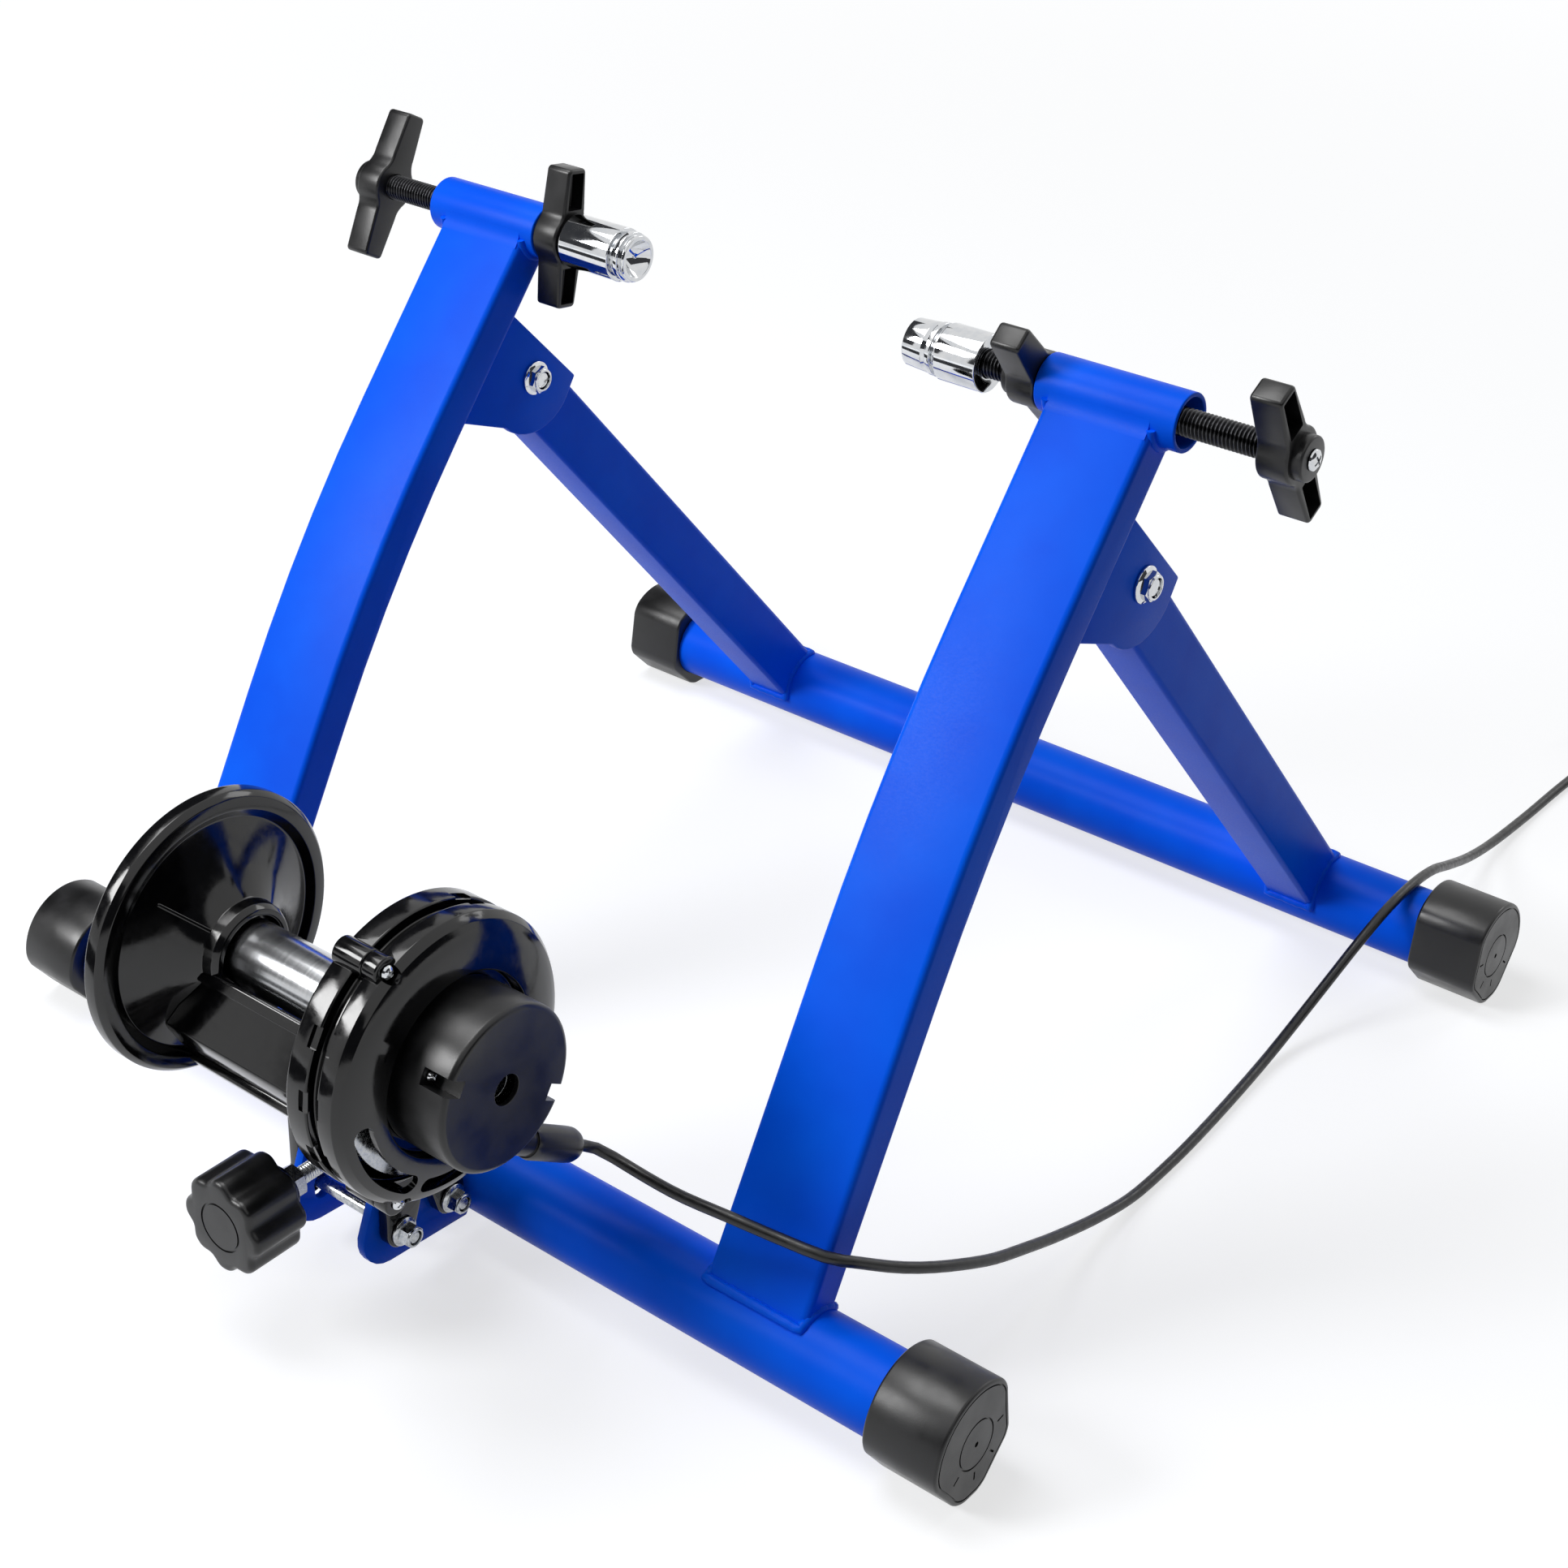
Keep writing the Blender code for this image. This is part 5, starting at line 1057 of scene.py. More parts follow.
def fold_bolts(side):
    name = side_name(side)
    low, high = side * LEG_X - EAR_WIDTH / 2, side * LEG_X + EAR_WIDTH / 2
    hexagon_bolt(name + "_fold_bolt", FOLD, low - GAP, 5.0 * MM, high + 5.4 * MM, 8.0 * MM,
                 4.0 * MM)
    flange_nut(name + "_fold_nut", high + GAP, 5.8 * MM, FOLD, 4.0 * MM, 6.6 * MM)


def hexagon_bolt(node, axis, seat, head_height, end, head_r, shank_r):
    """A washer-faced bolt along X. Its head lies before the seat, and its tip is chamfered."""
    place, tip = (0, *axis), 0.6 * MM
    bolt = hexagon_head(node + "_head", head_r, seat - head_height, seat - 0.6 * MM, axis, -1)
    washer = rod_profile(head_r * 1.12, seat - 1.3 * MM, seat)
    shank = [(0, end), (shank_r - tip, end), (shank_r, end - tip), (shank_r, seat - 2 * MM),
             (0, seat - 2 * MM)]
    join(bolt, turned(node + "_washer_face", washer, place, AXIS_X, ease=0.4 * MM),
         turned(node + "_shank", shank, place, AXIS_X, ease=0.15 * MM))
    dress(bolt, node)


def flange_nut(node, start, height, axis, bolt_r, corner_r):
    """A washer-faced locking nut, with the collar that holds its insert round the bolt's tip."""
    place, top, flange_r = (0, *axis), start + height, corner_r * 1.25
    nut = turned(node + "_flange",
                 [(0, start + 2.0 * MM), (corner_r, start + 2.0 * MM), (flange_r, start + 1.1 * MM),
                  (flange_r, start), (0, start)], place, AXIS_X)
    collar = rod_profile(corner_r * 0.84, start + 2 * MM, top)
    join(nut, hexagon_head(node + "_hexagon", corner_r, start + 1.0 * MM, top - 0.9 * MM, axis, 1),
         turned(node + "_collar", collar, place, AXIS_X, ease=0.6 * MM))
    bore = rod_profile(bolt_r + 0.4 * MM, start - MM, top + MM)
    dress(cut(nut, turned(node + "_bore", bore, place, AXIS_X, ease=0)), node)


def rear_legs(side):
    node = side_name(side) + "_rear_leg"
    x, half = side * LEG_X, REAR_LEG_WIDTH / 2
    along, above, length = rear_leg_axis()
    turn = degrees(atan2(above.y, above.x))
    reach = REAR_LEG_DEPTH / 2
    end = length * along
    foot = [tuple(end - reach * above), tuple(end + reach * above)]
    leg = slab(node + "_tube", arc((0, 0), reach, turn, turn + 180, 32) + foot, -half, half,
               (x, *FOLD), AXIS_X, bevel=2.6 * MM, segments=5)
    hole = rod_profile(FOLD_BOLT_R + GAP, -2 * half, 2 * half)
    cut(leg, cope(node + "_rail_cope", x, REAR_RAIL, RAIL_R + GAP),
        turned(node + "_hole", hole, (x, *FOLD), AXIS_X, ease=0))
    dress(leg, node)
    base = degrees(atan2(-along.y, -along.x))
    spread = degrees(atan2(reach, sqrt(RAIL_R ** 2 - reach ** 2)))
    weld_line(node + "_rail_weld", node, REAR_RAIL, RAIL_R, (base - spread, base + spread), x,
              half - 1 * MM)


# Levelling feet

def foot_reach(angle):
    """How far the foot reaches from the rail's axis, before its corners are rounded."""
    near = [(distance, cos(radians(angle - flat))) for flat, distance in FOOT_FLATS]
    return min([FOOT_ROUND] + [distance / share for distance, share in near if share > 0.3])


def foot_outline(inset, mirror):
    points = []
    for angle in range(0, 360, 2):
        around = [foot_reach(angle + step) for step in range(-12, 13, 2)]
        radius = min(foot_reach(angle), sum(around) / len(around)) - inset
        points.append(polar(radius, radians(angle)))
    return [(-y, z) for y, z in points][::-1] if mirror else points


def feet(node, side, rail, mirror):
    """An end cap on a rail. A mirrored one has its flats to the rear."""
    end, place = STAND_WIDTH / 2, (0, *rail)
    outline, outer, inner = (foot_outline(inset, mirror) for inset in (0.0, 2.0 * MM, 2.7 * MM))
    made = slab(node + "_cap", outline, *mirrored((end - FOOT_LENGTH, end), side), place, AXIS_X,
                bevel=1.3 * MM, angle=60)
    bore = mirrored((end - FOOT_LENGTH - 5 * MM, end - FOOT_END), side)
    face = mirrored((end - 0.7 * MM, end + 2 * MM), side)
    cut(made, turned(node + "_bore", rod_profile(RAIL_R + GAP, *bore), place, AXIS_X, ease=0),
        turned(node + "_groove", ring_profile(11.4 * MM, 10.6 * MM, *face), place, AXIS_X, ease=0),
        slab(node + "_edge_groove", outer, *face, place, AXIS_X, [inner]),
        turned(node + "_gate", rod_profile(1.2 * MM, *face), place, AXIS_X, ease=0))
    for i, angle in enumerate(FOOT_MARKS):
        turn = pi - radians(angle) if mirror else radians(angle)
        mark = slab(node + "_mark_%d" % i, rectangle(14.0 * MM, 18.0 * MM, 0.45 * MM), *face,
                    (0, 0, 0), AXIS_X)
        mark.data.transform(Matrix.Translation(place) @ Matrix.Rotation(turn, 4, "X"))
        cut(made, mark)
    dress(made, node)


# Clamp screws

def clamp_rods(side):
    node = side_name(side) + "_clamp_rod"
    start = CUP_TIP[side] + CUP_LENGTH - CUP_HOLD
    end = HANDLE_INNER + HANDLE_SPAN - 3 * MM
    low, high = mirrored((start, end), side)
    dress(thread_mesh(node + "_thread", ROD_R, low, high, ROD_PITCH, 0.95 * MM, CLAMP_AXIS, AXIS_X,
                      fine=32), node, sharp=70)


def clamp_cups(side):
    node = side_name(side) + "_clamp_cup"
    tip = CUP_TIP[side]
    back = tip + CUP_LENGTH
    neck = tip + CUP_NECK[side]
    outer = [(CUP_R, back), (CUP_R, neck), (9.8 * MM, neck - 0.4 * MM),
             (9.8 * MM, neck - 2.4 * MM), (11.6 * MM, neck - 2.8 * MM),
             (11.6 * MM, neck - 5.2 * MM), (9.8 * MM, neck - 5.6 * MM),
             (11.0 * MM, neck - 7.6 * MM), (10.4 * MM, tip), (8.6 * MM, tip), (0, tip + 12.0 * MM)]
    socket, bore = back - CUP_HOLD - GAP, ROD_R + GAP
    profile = [(0, socket), (bore, socket), (bore, back)] + outer
    dress(turned(node + "_shell", flipped(profile, side), CLAMP_AXIS, AXIS_X, ease=0.5 * MM), node)


def bar_outline(half, tip, waist, lean):
    """A two-winged bar: slim tips, a round hub, and hollow flanks between them."""
    flank = []
    knee, neck = (half * 0.42, tip + 1.4 * MM), (waist * 0.8, waist * 0.85)
    for i in range(9):
        t = i / 8
        bow = 0.6 * MM * sin(pi * t)
        flank.append((knee[0] + (neck[0] - knee[0]) * t, knee[1] + (neck[1] - knee[1]) * t - bow))
    corner = 2.2 * MM
    round_tip = arc((half - corner, tip - corner), corner, 0, 90, 5)[1:]
    quarter = [(half, tip - corner)] + round_tip + flank
    hub = degrees(atan2(neck[1], neck[0]))
    crown = arc((0, 0), hypot(*neck), hub, 180 - hub, 14)[1:-1]
    upper = quarter + crown + [(-x, y) for x, y in quarter][::-1]
    loop = upper + [(-x, -y) for x, y in upper]
    return rotated(loop, radians(lean))


def wing_pocket(name, lean, half, depth_low, depth_high, flip):
    """The hollow in one wing of a moulded handle, with drafted corners."""
    loop = [(13.5 * MM, -4.6 * MM), (half - 2 * MM, -4.2 * MM), (half - 2 * MM, 4.2 * MM),
            (13.5 * MM, 4.6 * MM)]
    return slab(name, rotated(loop, radians(lean + (180 if flip else 0))), depth_low, depth_high,
                CLAMP_AXIS, AXIS_X, bevel=0.6 * MM)


def winged(node, side, inner, span, half, lean, hub_from, hub_to, pocket, bore):
    """A moulded two-winged grip on the clamp axis. X distances are those of the right side."""
    grip = slab(node + "_wings", bar_outline(half, 5.8 * MM, HUB_R + 1.0 * MM, lean),
                *mirrored((inner, inner + span), side), CLAMP_AXIS, AXIS_X, bevel=1.3 * MM)
    hub = flipped(rod_profile(HUB_R, hub_from, hub_to), side)
    join(grip, turned(node + "_hub", hub, CLAMP_AXIS, AXIS_X, ease=1.1 * MM))
    pocket = mirrored(pocket, side)
    for flip in (False, True):
        cut(grip, wing_pocket(node + "_pocket" + "ab"[flip], lean, half, *pocket, flip))
    return cut(grip, turned(node + "_bore", flipped(rod_profile(*bore), side), CLAMP_AXIS, AXIS_X,
                            ease=0))


def cross(reach, half, turn):
    """Outline of a cross-shaped screwdriver recess."""
    arm = [(reach, -half), (reach, half), (half, half)]
    return [point for i in range(4) for point in rotated(arm, radians(turn + 90 * i))]


def clamp_handles(side):
    node = side_name(side) + "_clamp_handle"
    end = HANDLE_INNER + HANDLE_SPAN
    grip = winged(node, side, HANDLE_INNER, HANDLE_SPAN, HANDLE_HALF, HANDLE_LEAN[side],
                  HANDLE_INNER + 2 * MM, end + HUB_PROUD, (end - 8 * MM, end + 2 * MM),
                  (ROD_R + GAP, HANDLE_INNER - 2 * MM, end - 3 * MM + GAP))
    hole = rod_profile(2.2 * MM, end - 5 * MM, end + HUB_PROUD + 2 * MM)
    cut(grip, turned(node + "_screw_hole", flipped(hole, side), CLAMP_AXIS, AXIS_X, ease=0))
    dress(grip, node)
    face = end + HUB_PROUD + GAP
    screw = [(0, face + 2.1 * MM), (1.6 * MM, face + 2.0 * MM), (3.2 * MM, face + 1.6 * MM),
             (4.3 * MM, face + 0.9 * MM), (4.6 * MM, face), (1.9 * MM, face),
             (1.9 * MM, end - 2.2 * MM), (0, end - 2.2 * MM)]
    node = side_name(side) + "_handle_screw"
    head = turned(node + "_head", flipped(screw, side), CLAMP_AXIS, AXIS_X, ease=0.25 * MM)
    cut(head, slab(node + "_recess", cross(2.6 * MM, 0.5 * MM, 35),
                   *mirrored((face + 0.7 * MM, face + 3 * MM), side), CLAMP_AXIS, AXIS_X))
    dress(head, node)


def lock_nuts(side):
    inner = HEAD_INNER - GAP - LOCK_SPAN
    node = side_name(side) + "_lock_nut"
    dress(winged(node, side, inner, LOCK_SPAN, LOCK_HALF, LOCK_LEAN[side],
                 inner - (4.0 * MM if side > 0 else 0.0), HEAD_INNER - GAP - 1 * MM,
                 (inner - 2 * MM, inner + 7 * MM),
                 (ROD_R + GAP, inner - 8 * MM, HEAD_INNER + 5 * MM)), node)


# Brackets on the front rail, spindle and star knob

def bracket_plates(side):
    node = side_name(side) + "_bracket_plate"
    outer = PLATE_OUTER[side]
    low, high = sorted((outer, outer - side * PLATE))
    holes = [arc(UNIT_PIVOT, UNIT_BOLT_R + RUN, 0, 350, 35),
             arc(TRUNNION, UNIT_BOLT_R + GAP, 0, 350, 35), guide_slot(RUN)]
    dress(slab(node + "_sheet", bracket_outline(), low, high, (0, 0, 0), AXIS_X, holes=holes,
               bevel=0.6 * MM, segments=2, angle=40), node)
    seam_r = RAIL_R + 1.0 * MM
    for end, face in (("low", low - 0.2 * MM), ("high", high + 0.2 * MM)):
        seam = [(face, FRONT_RAIL[0] + seam_r * cos(radians(angle)),
                 FRONT_RAIL[1] + seam_r * sin(radians(angle))) for angle in range(122, 230, 6)]
        beside(tube(node + "_weld_" + end, seam, 1.7 * MM, False, 3), node)


def cross_nut():
    low, high = PLATE_OUTER[-1], PLATE_OUTER[1]
    left, right = low + PLATE + GAP, high - PLATE - GAP
    profile = [(0, high), (UNIT_BOLT_R, high), (UNIT_BOLT_R, right), (TRUNNION_R, right),
               (TRUNNION_R, left), (UNIT_BOLT_R, left), (UNIT_BOLT_R, low), (0, low)]
    nut = turned("cross_nut", profile, (0, *TRUNNION), AXIS_X)
    thread = rod_profile(SPINDLE_R + RUN, -2 * TRUNNION_R, 2 * TRUNNION_R)
    cut(nut, turned("cross_nut_thread", thread, SPINDLE_AT, AXIS_Y, ease=0))
    dress(nut, "spindle_trunnion")


def spindle_and_collar():
    start, end = KNOB_FRONT + 12 * MM - TRUNNION_Y, WALL_FRONT - GAP - TRUNNION_Y
    dress(thread_mesh("spindle_thread", SPINDLE_R, start, end, SPINDLE_PITCH, 0.6 * MM, SPINDLE_AT,
                      AXIS_Y, 2.5 * MM, 28), "tension_spindle", sharp=70)
    low, high = COLLAR_FRONT - TRUNNION_Y, COLLAR_BACK - TRUNNION_Y
    nut = slab("spindle_nut", polygon(COLLAR_R, 6, radians(20)), low, high, SPINDLE_AT, AXIS_Y)
    inner, rim, drop = COLLAR_R * cos(radians(30)), 7.7 * MM, 0.7 * MM
    profile = [(0, high), (inner, high), (rim, high - drop), (rim, low + drop), (inner, low),
               (0, low)]
    combine(nut, turned("spindle_nut_chamfer", profile, SPINDLE_AT, AXIS_Y, ease=0), "INTERSECT")
    bore = rod_profile(SPINDLE_R + RUN, low - MM, high + MM)
    cut(nut, turned("spindle_nut_bore", bore, SPINDLE_AT, AXIS_Y, ease=0))
    dress(nut, "spindle_collar")


def star_knob():
    at, depth = (SPINDLE_X, KNOB_BACK, SPINDLE_Z), KNOB_BACK - KNOB_FRONT
    star = []
    for i in range(KNOB_LOBES * 20):
        angle = 2 * pi * i / (KNOB_LOBES * 20)
        flute = KNOB_FLUTE * (0.5 - 0.5 * cos(KNOB_LOBES * angle)) ** 1.5
        star.append(polar(KNOB_R - flute, angle))
    knob = slab("star_knob", star, -depth, 0, at, AXIS_Y, bevel=2.6 * MM, segments=5, angle=60)
    top = COLLAR_FRONT - GAP - KNOB_BACK
    neck = [(0, top), (10.0 * MM, top), (13.0 * MM, 0), (13.0 * MM, -4 * MM), (0, -4 * MM)]
    join(knob, turned("star_knob_neck", neck, at, AXIS_Y, ease=1.0 * MM))
    bore = rod_profile(SPINDLE_R + RUN, -depth + 12 * MM - GAP, 20 * MM)
    groove = ring_profile(11.4 * MM, 10.4 * MM, -depth - 2 * MM, -depth + 0.7 * MM)
    cut(knob, turned("star_knob_bore", bore, at, AXIS_Y, ease=0),
        turned("star_knob_groove", groove, at, AXIS_Y, ease=0))
    dress(knob, "tension_knob")


# Resistance unit

def flywheel_drum():
    inside = [(DRUM_R - 2.5 * MM, DRUM_LEFT), (DRUM_R - 2.5 * MM, -67.4 * MM),
              (49.0 * MM, -67.4 * MM), (24.0 * MM, -56.5 * MM), (SHAFT_R + 1.0 * MM, -56.5 * MM),
              (SHAFT_R + 1.0 * MM, -47.0 * MM), (16.0 * MM, -47.0 * MM)]
    shell = turned("drum_bell", drum_profile() + inside, UNIT_AXIS, AXIS_X, DRUM_STEPS, 1.2 * MM)
    rib = [(-47.6 * MM, -20.5 * MM), (-56.4 * MM, -33.0 * MM), (-60.8 * MM, -42.0 * MM),
           (-64.0 * MM, -43.0 * MM), (-60.0 * MM, -32.0 * MM), (-50.5 * MM, -20.0 * MM)]
    lean = (-pi / 2 + radians(46), 0, 0)
    join(shell, slab("drum_rib", rib, -0.8 * MM, 0.8 * MM, UNIT_AXIS, lean, bevel=0.4 * MM))
    dress(shell, "flywheel_housing")
    top = DRUM_LEFT - GAP
    profile = [(0, -82.2 * MM), (41.0 * MM, -81.6 * MM), (48.5 * MM, -78.8 * MM), (56.0 * MM, top),
               (DRUM_R - 0.6 * MM, top), (DRUM_R - 3.0 * MM, top - 1.8 * MM),
               (50.0 * MM, -80.6 * MM), (42.0 * MM, -83.8 * MM), (0, -84.4 * MM)]
    lid = turned("drum_lid", profile, UNIT_AXIS, AXIS_X, DRUM_STEPS, 1.0 * MM)
    for radius in (18.0 * MM, 30.0 * MM):
        ring = ring_profile(radius + 0.9 * MM, radius, -90 * MM, -83.7 * MM)
        cut(lid, turned("drum_lid_ring_%d" % round(radius / MM), ring, UNIT_AXIS, AXIS_X, ease=0))
    dress(lid, "flywheel_cover")


def rotor_pieces():
    bore = SHAFT_R + RUN
    for node, name, profile, ease in (
            ("rotor_shaft", "ground_shaft", rod_profile(SHAFT_R, -80.0 * MM, 68.0 * MM), 0.6),
            ("roller", "roller_sleeve",
             ring_profile(ROLLER_R, bore, ROLLER_LEFT, ROLLER_RIGHT), 0.8),
            ("flywheel", "flywheel_disc",
             ring_profile(FLYWHEEL_R, bore, -78.6 * MM, -69.6 * MM), 1.0),
            ("brake_rotor", "eddy_disc", ring_profile(49.0 * MM, bore, 57.6 * MM, 59.8 * MM), 0.4)):
        dress(turned(name, profile, UNIT_AXIS, AXIS_X, ease=ease * MM), node)


def yoke_casting():
    at, y, z = (0, *UNIT_PIVOT), *UNIT
    yoke = slab("yoke_channel", from_origin(yoke_outline(), UNIT_PIVOT), -62.0 * MM,
                BRAKE_LEFT - GAP, at, AXIS_X, bevel=1.0 * MM, angle=40)
    for side in (1, -1):
        join(yoke, slab(side_name(side) + "_lug", from_origin(lug_outline(), UNIT_PIVOT),
                        *lug_range(side), at, AXIS_X, bevel=0.8 * MM, angle=40))
    low, high = lug_range(-1)[0] + 1 * MM, lug_range(1)[1] - 1 * MM
    foot, top = 56.0 * MM, z - 54.5 * MM
    wall = [(WALL_FRONT, foot), (WALL_FRONT, top), (WALL_FRONT + WALL, top),
            (WALL_FRONT + WALL, foot)]
    join(yoke, slab("yoke_wall", from_origin(wall, UNIT_PIVOT), low, high, at, AXIS_X,
                    bevel=0.6 * MM))
    lips = {"top": [(18.0, 2.0), (20.6, 1.0), (23.2, 5.6), (20.6, 7.0)],
            "low": [(17.5, 50.0), (20.6, 46.0), (22.6, 49.0), (19.0, 54.0), (13.0, 55.0),
                    (12.0, 51.0)]}
    for name, corners in lips.items():
        lip = [(y - ahead * MM, z - below * MM) for ahead, below in corners]
        join(yoke, slab("yoke_lip_" + name, from_origin(lip, UNIT_PIVOT), -60.0 * MM,
                        BRAKE_LEFT - 0.5 * MM, at, AXIS_X, bevel=0.7 * MM, angle=40))
    bell = [(0, -40.5 * MM + GAP)] + drum_profile(GAP)[1:] + [(0, DRUM_LEFT)]
    cut(yoke, turned("drum_clearance", bell, UNIT_AXIS, AXIS_X, DRUM_STEPS, 0))
    hole = rod_profile(UNIT_BOLT_R + RUN, -60 * MM, 60 * MM)
    for name, axis in (("lug_pivot", UNIT_PIVOT), ("lug_guide", UNIT_GUIDE)):
        cut(yoke, turned(name + "_hole", hole, (0, *axis), AXIS_X, ease=0))
    dress(yoke, "roller_yoke")


def unit_bolts(name, axis):
    low, high = lug_range(-1)[0], lug_range(1)[1]
    hexagon_bolt(name + "_bolt", axis, low - GAP, 4.4 * MM, high + 7.4 * MM, 6.4 * MM, 3.0 * MM)
    flange_nut(name + "_nut", high + GAP, 7.6 * MM, axis, 3.0 * MM, 5.3 * MM)


def slot_block(name, radius_low, radius_high, width, low, high, angle):
    """A block that stands out from the unit's axis, at an angle in degrees from +Y."""
    made = slab(name, rectangle(radius_low, radius_high, width / 2), low, high, (0, 0, 0), AXIS_X)
    made.data.transform(Matrix.Translation(UNIT_AXIS) @ Matrix.Rotation(radians(angle), 4, "X"))
    return made


def rim_tabs(made, name, low, high):
    """Shallow notches round a moulded rim, where its halves snap together."""
    start = BRAKE_R - 1.2 * MM
    for i, angle in enumerate(TAB_ANGLES):
        cut(made, slot_block(name + "_%d" % i, start, start + 4 * MM, 9 * MM, low, high, angle))


def at_bosses(name, profile, ease=0.0):
    """The same turned form at each of the two housing screws."""
    return [turned(name + "_" + boss, profile, (0, *round_unit(BOSS_RADIUS, angle)), AXIS_X,
                   ease=ease) for boss, angle in BOSS_ANGLES.items()]


def brake_shells():
    bore = SHAFT_R + 1.0 * MM
    profile = [(BRAKE_R, BACK_RIM), (BRAKE_R, BRAKE_LEFT), (bore, BRAKE_LEFT), (bore, 47.2 * MM),
               (54.0 * MM, 47.2 * MM), (54.0 * MM, BACK_SEAM), (56.4 * MM, BACK_SEAM),
               (56.4 * MM, BACK_RIM)]
    plate = turned("brake_back_shell", profile, UNIT_AXIS, AXIS_X, DRUM_STEPS, 1.0 * MM)
    boss = rod_profile(BOSS_R, BRAKE_LEFT + 0.4 * MM, BACK_SEAM)
    join(plate, *at_bosses("back_boss", boss, 0.8 * MM))
    rim_tabs(plate, "back_notch", 51.5 * MM, 56.0 * MM)
    cut(plate, *at_bosses("back_thread", rod_profile(1.8 * MM, 50 * MM, 64 * MM)))
    dress(plate, "brake_backplate")
    profile = [(38.6 * MM, 76.4 * MM), (45.0 * MM, 75.9 * MM), (50.0 * MM, 75.0 * MM),
               (54.6 * MM, 73.9 * MM), (58.2 * MM, 72.2 * MM), (BRAKE_R, 69.0 * MM),
               (BRAKE_R, DOME_RIM), (58.4 * MM, DOME_RIM), (58.4 * MM, 68.4 * MM),
               (49.0 * MM, 72.6 * MM), (40.6 * MM, 73.6 * MM), (40.6 * MM, DOME_SEAT),
               (10.3 * MM, DOME_SEAT), (10.3 * MM, DOME_FACE), (38.6 * MM, DOME_FACE)]
    shell = turned("brake_dome", profile, UNIT_AXIS, AXIS_X, DRUM_STEPS, 1.0 * MM)
    join(shell, *at_bosses("dome_boss", rod_profile(BOSS_R, 60.7 * MM, DOME_SEAT), 0.8 * MM))
    rim_tabs(shell, "dome_notch", 60.0 * MM, 63.2 * MM)
    screw_way = [(0, 75 * MM), (3.8 * MM, 75 * MM), (3.8 * MM, DOME_SEAT), (1.9 * MM, DOME_SEAT),
                 (1.9 * MM, 55 * MM), (0, 55 * MM)]
    cut(shell, vent("vent_front", -172, -124, 46.0 * MM, 54.5 * MM),
        vent("vent_rear", -111, -84, 48.0 * MM, 54.5 * MM), *at_bosses("dome_hole", screw_way))
    dress(shell, "brake_housing")


def vent(name, first, last, inner, outer):
    """A curved slot through the dome's face, with round ends."""
    middle, half = (inner + outer) / 2, (outer - inner) / 2
    loop = []
    for radius, start, end, turn in ((outer, first, last, 0), (inner, last, first, 180)):
        loop += arc((0, 0), radius, start, end, 24)
        loop += arc(polar(middle, radians(end)), half, end + turn, end + turn + 180, 12)[1:-1]
    return slab(name, loop, 64 * MM, 90 * MM, UNIT_AXIS, AXIS_X)


def pan_screw(node, face, length, place, head_r=3.0 * MM, shank_r=1.5 * MM):
    profile = [(0, face + 2.0 * MM), (head_r * 0.5, face + 1.9 * MM),
               (head_r * 0.85, face + 1.3 * MM), (head_r, face + 0.5 * MM), (head_r, face),
               (shank_r, face), (shank_r, face - length), (0, face - length)]
    screw = turned(node + "_pan", profile, (0, *place), AXIS_X, 48, 0.2 * MM)
    cut(screw, slab(node + "_recess", cross(0.6 * head_r, 0.4 * MM, 20), face + 0.9 * MM,
                    face + 3 * MM, (0, *place), AXIS_X))
    dress(screw, node)


def cable_cap():
    base = DOME_FACE + GAP
    wall, corner = 2.2 * MM, 2.6 * MM
    inner, roof = CAP_R - wall, CAP_FRONT - wall
    profile = [(CAP_R, base), (inner, base), (inner, roof - 1.0 * MM), (inner - 1.0 * MM, roof),
               (6.6 * MM, roof), (6.6 * MM, CAP_FRONT)]
    profile += arc((CAP_R - corner, CAP_FRONT - corner), corner, 90, 0, 8)
    cap = turned("cap_shell", profile, UNIT_AXIS, AXIS_X, DRUM_STEPS, 0.3 * MM)
    for name, angle in CAP_SLOTS.items():
        join(cap, slot_block("cap_boss_" + name, 25.0 * MM, CAP_R - 1 * MM, 11 * MM, base + 2 * MM,
                             CAP_FRONT - 1 * MM, angle))
        cut(cap, slot_block("cap_slot_" + name, 26.8 * MM, CAP_R + 3 * MM, 7 * MM, CAP_SEAT,
                            CAP_FRONT + 2 * MM, angle))
        hole = rod_profile(1.6 * MM, base, CAP_SEAT + 1 * MM)
        cut(cap, turned("cap_hole_" + name, hole, (0, *round_unit(CAP_BOSS, angle)), AXIS_X, 32, 0))
    cut(cap, gland_turn("gland_mouth", rod_profile(6.3 * MM, 12 * MM, 45 * MM), 0))
    dress(cap, "actuator_cap")
    pan_screw("cap_screw", CAP_SEAT + GAP, 10 * MM, round_unit(CAP_BOSS, CAP_SLOTS["front"]),
              2.4 * MM, 1.2 * MM)


def gland_turn(name, profile, ease):
    """A turned form on the cable's line, its height measured from the foot of that line."""
    made = turned(name, profile, (0, 0, 0), (0, 0, 0), 64, ease)
    lean = Vector((0, cos(GLAND_DROP), -sin(GLAND_DROP))).to_track_quat("Z", "Y")
    made.data.transform(Matrix.Translation(gland_line(0)) @ lean.to_matrix().to_4x4())
    return made


def boot():
    """Stub in the cap's side and a soft boot with a rounded end, bored for the cable."""
    end, bore, foot = GLAND_END, CABLE_R + GAP, 18.0 * MM
    profile = [(6.6 * MM, end - 1.0 * MM), (7.3 * MM, end - 3.0 * MM), (7.5 * MM, end - 6.0 * MM),
               (7.5 * MM, 50.5 * MM), (6.8 * MM, 48.0 * MM), (6.0 * MM, 48.0 * MM),
               (6.0 * MM, foot), (bore, foot), (bore, end), (5.4 * MM, end)]
    dress(gland_turn("cable_boot", profile, 0.3 * MM), "cable_gland")


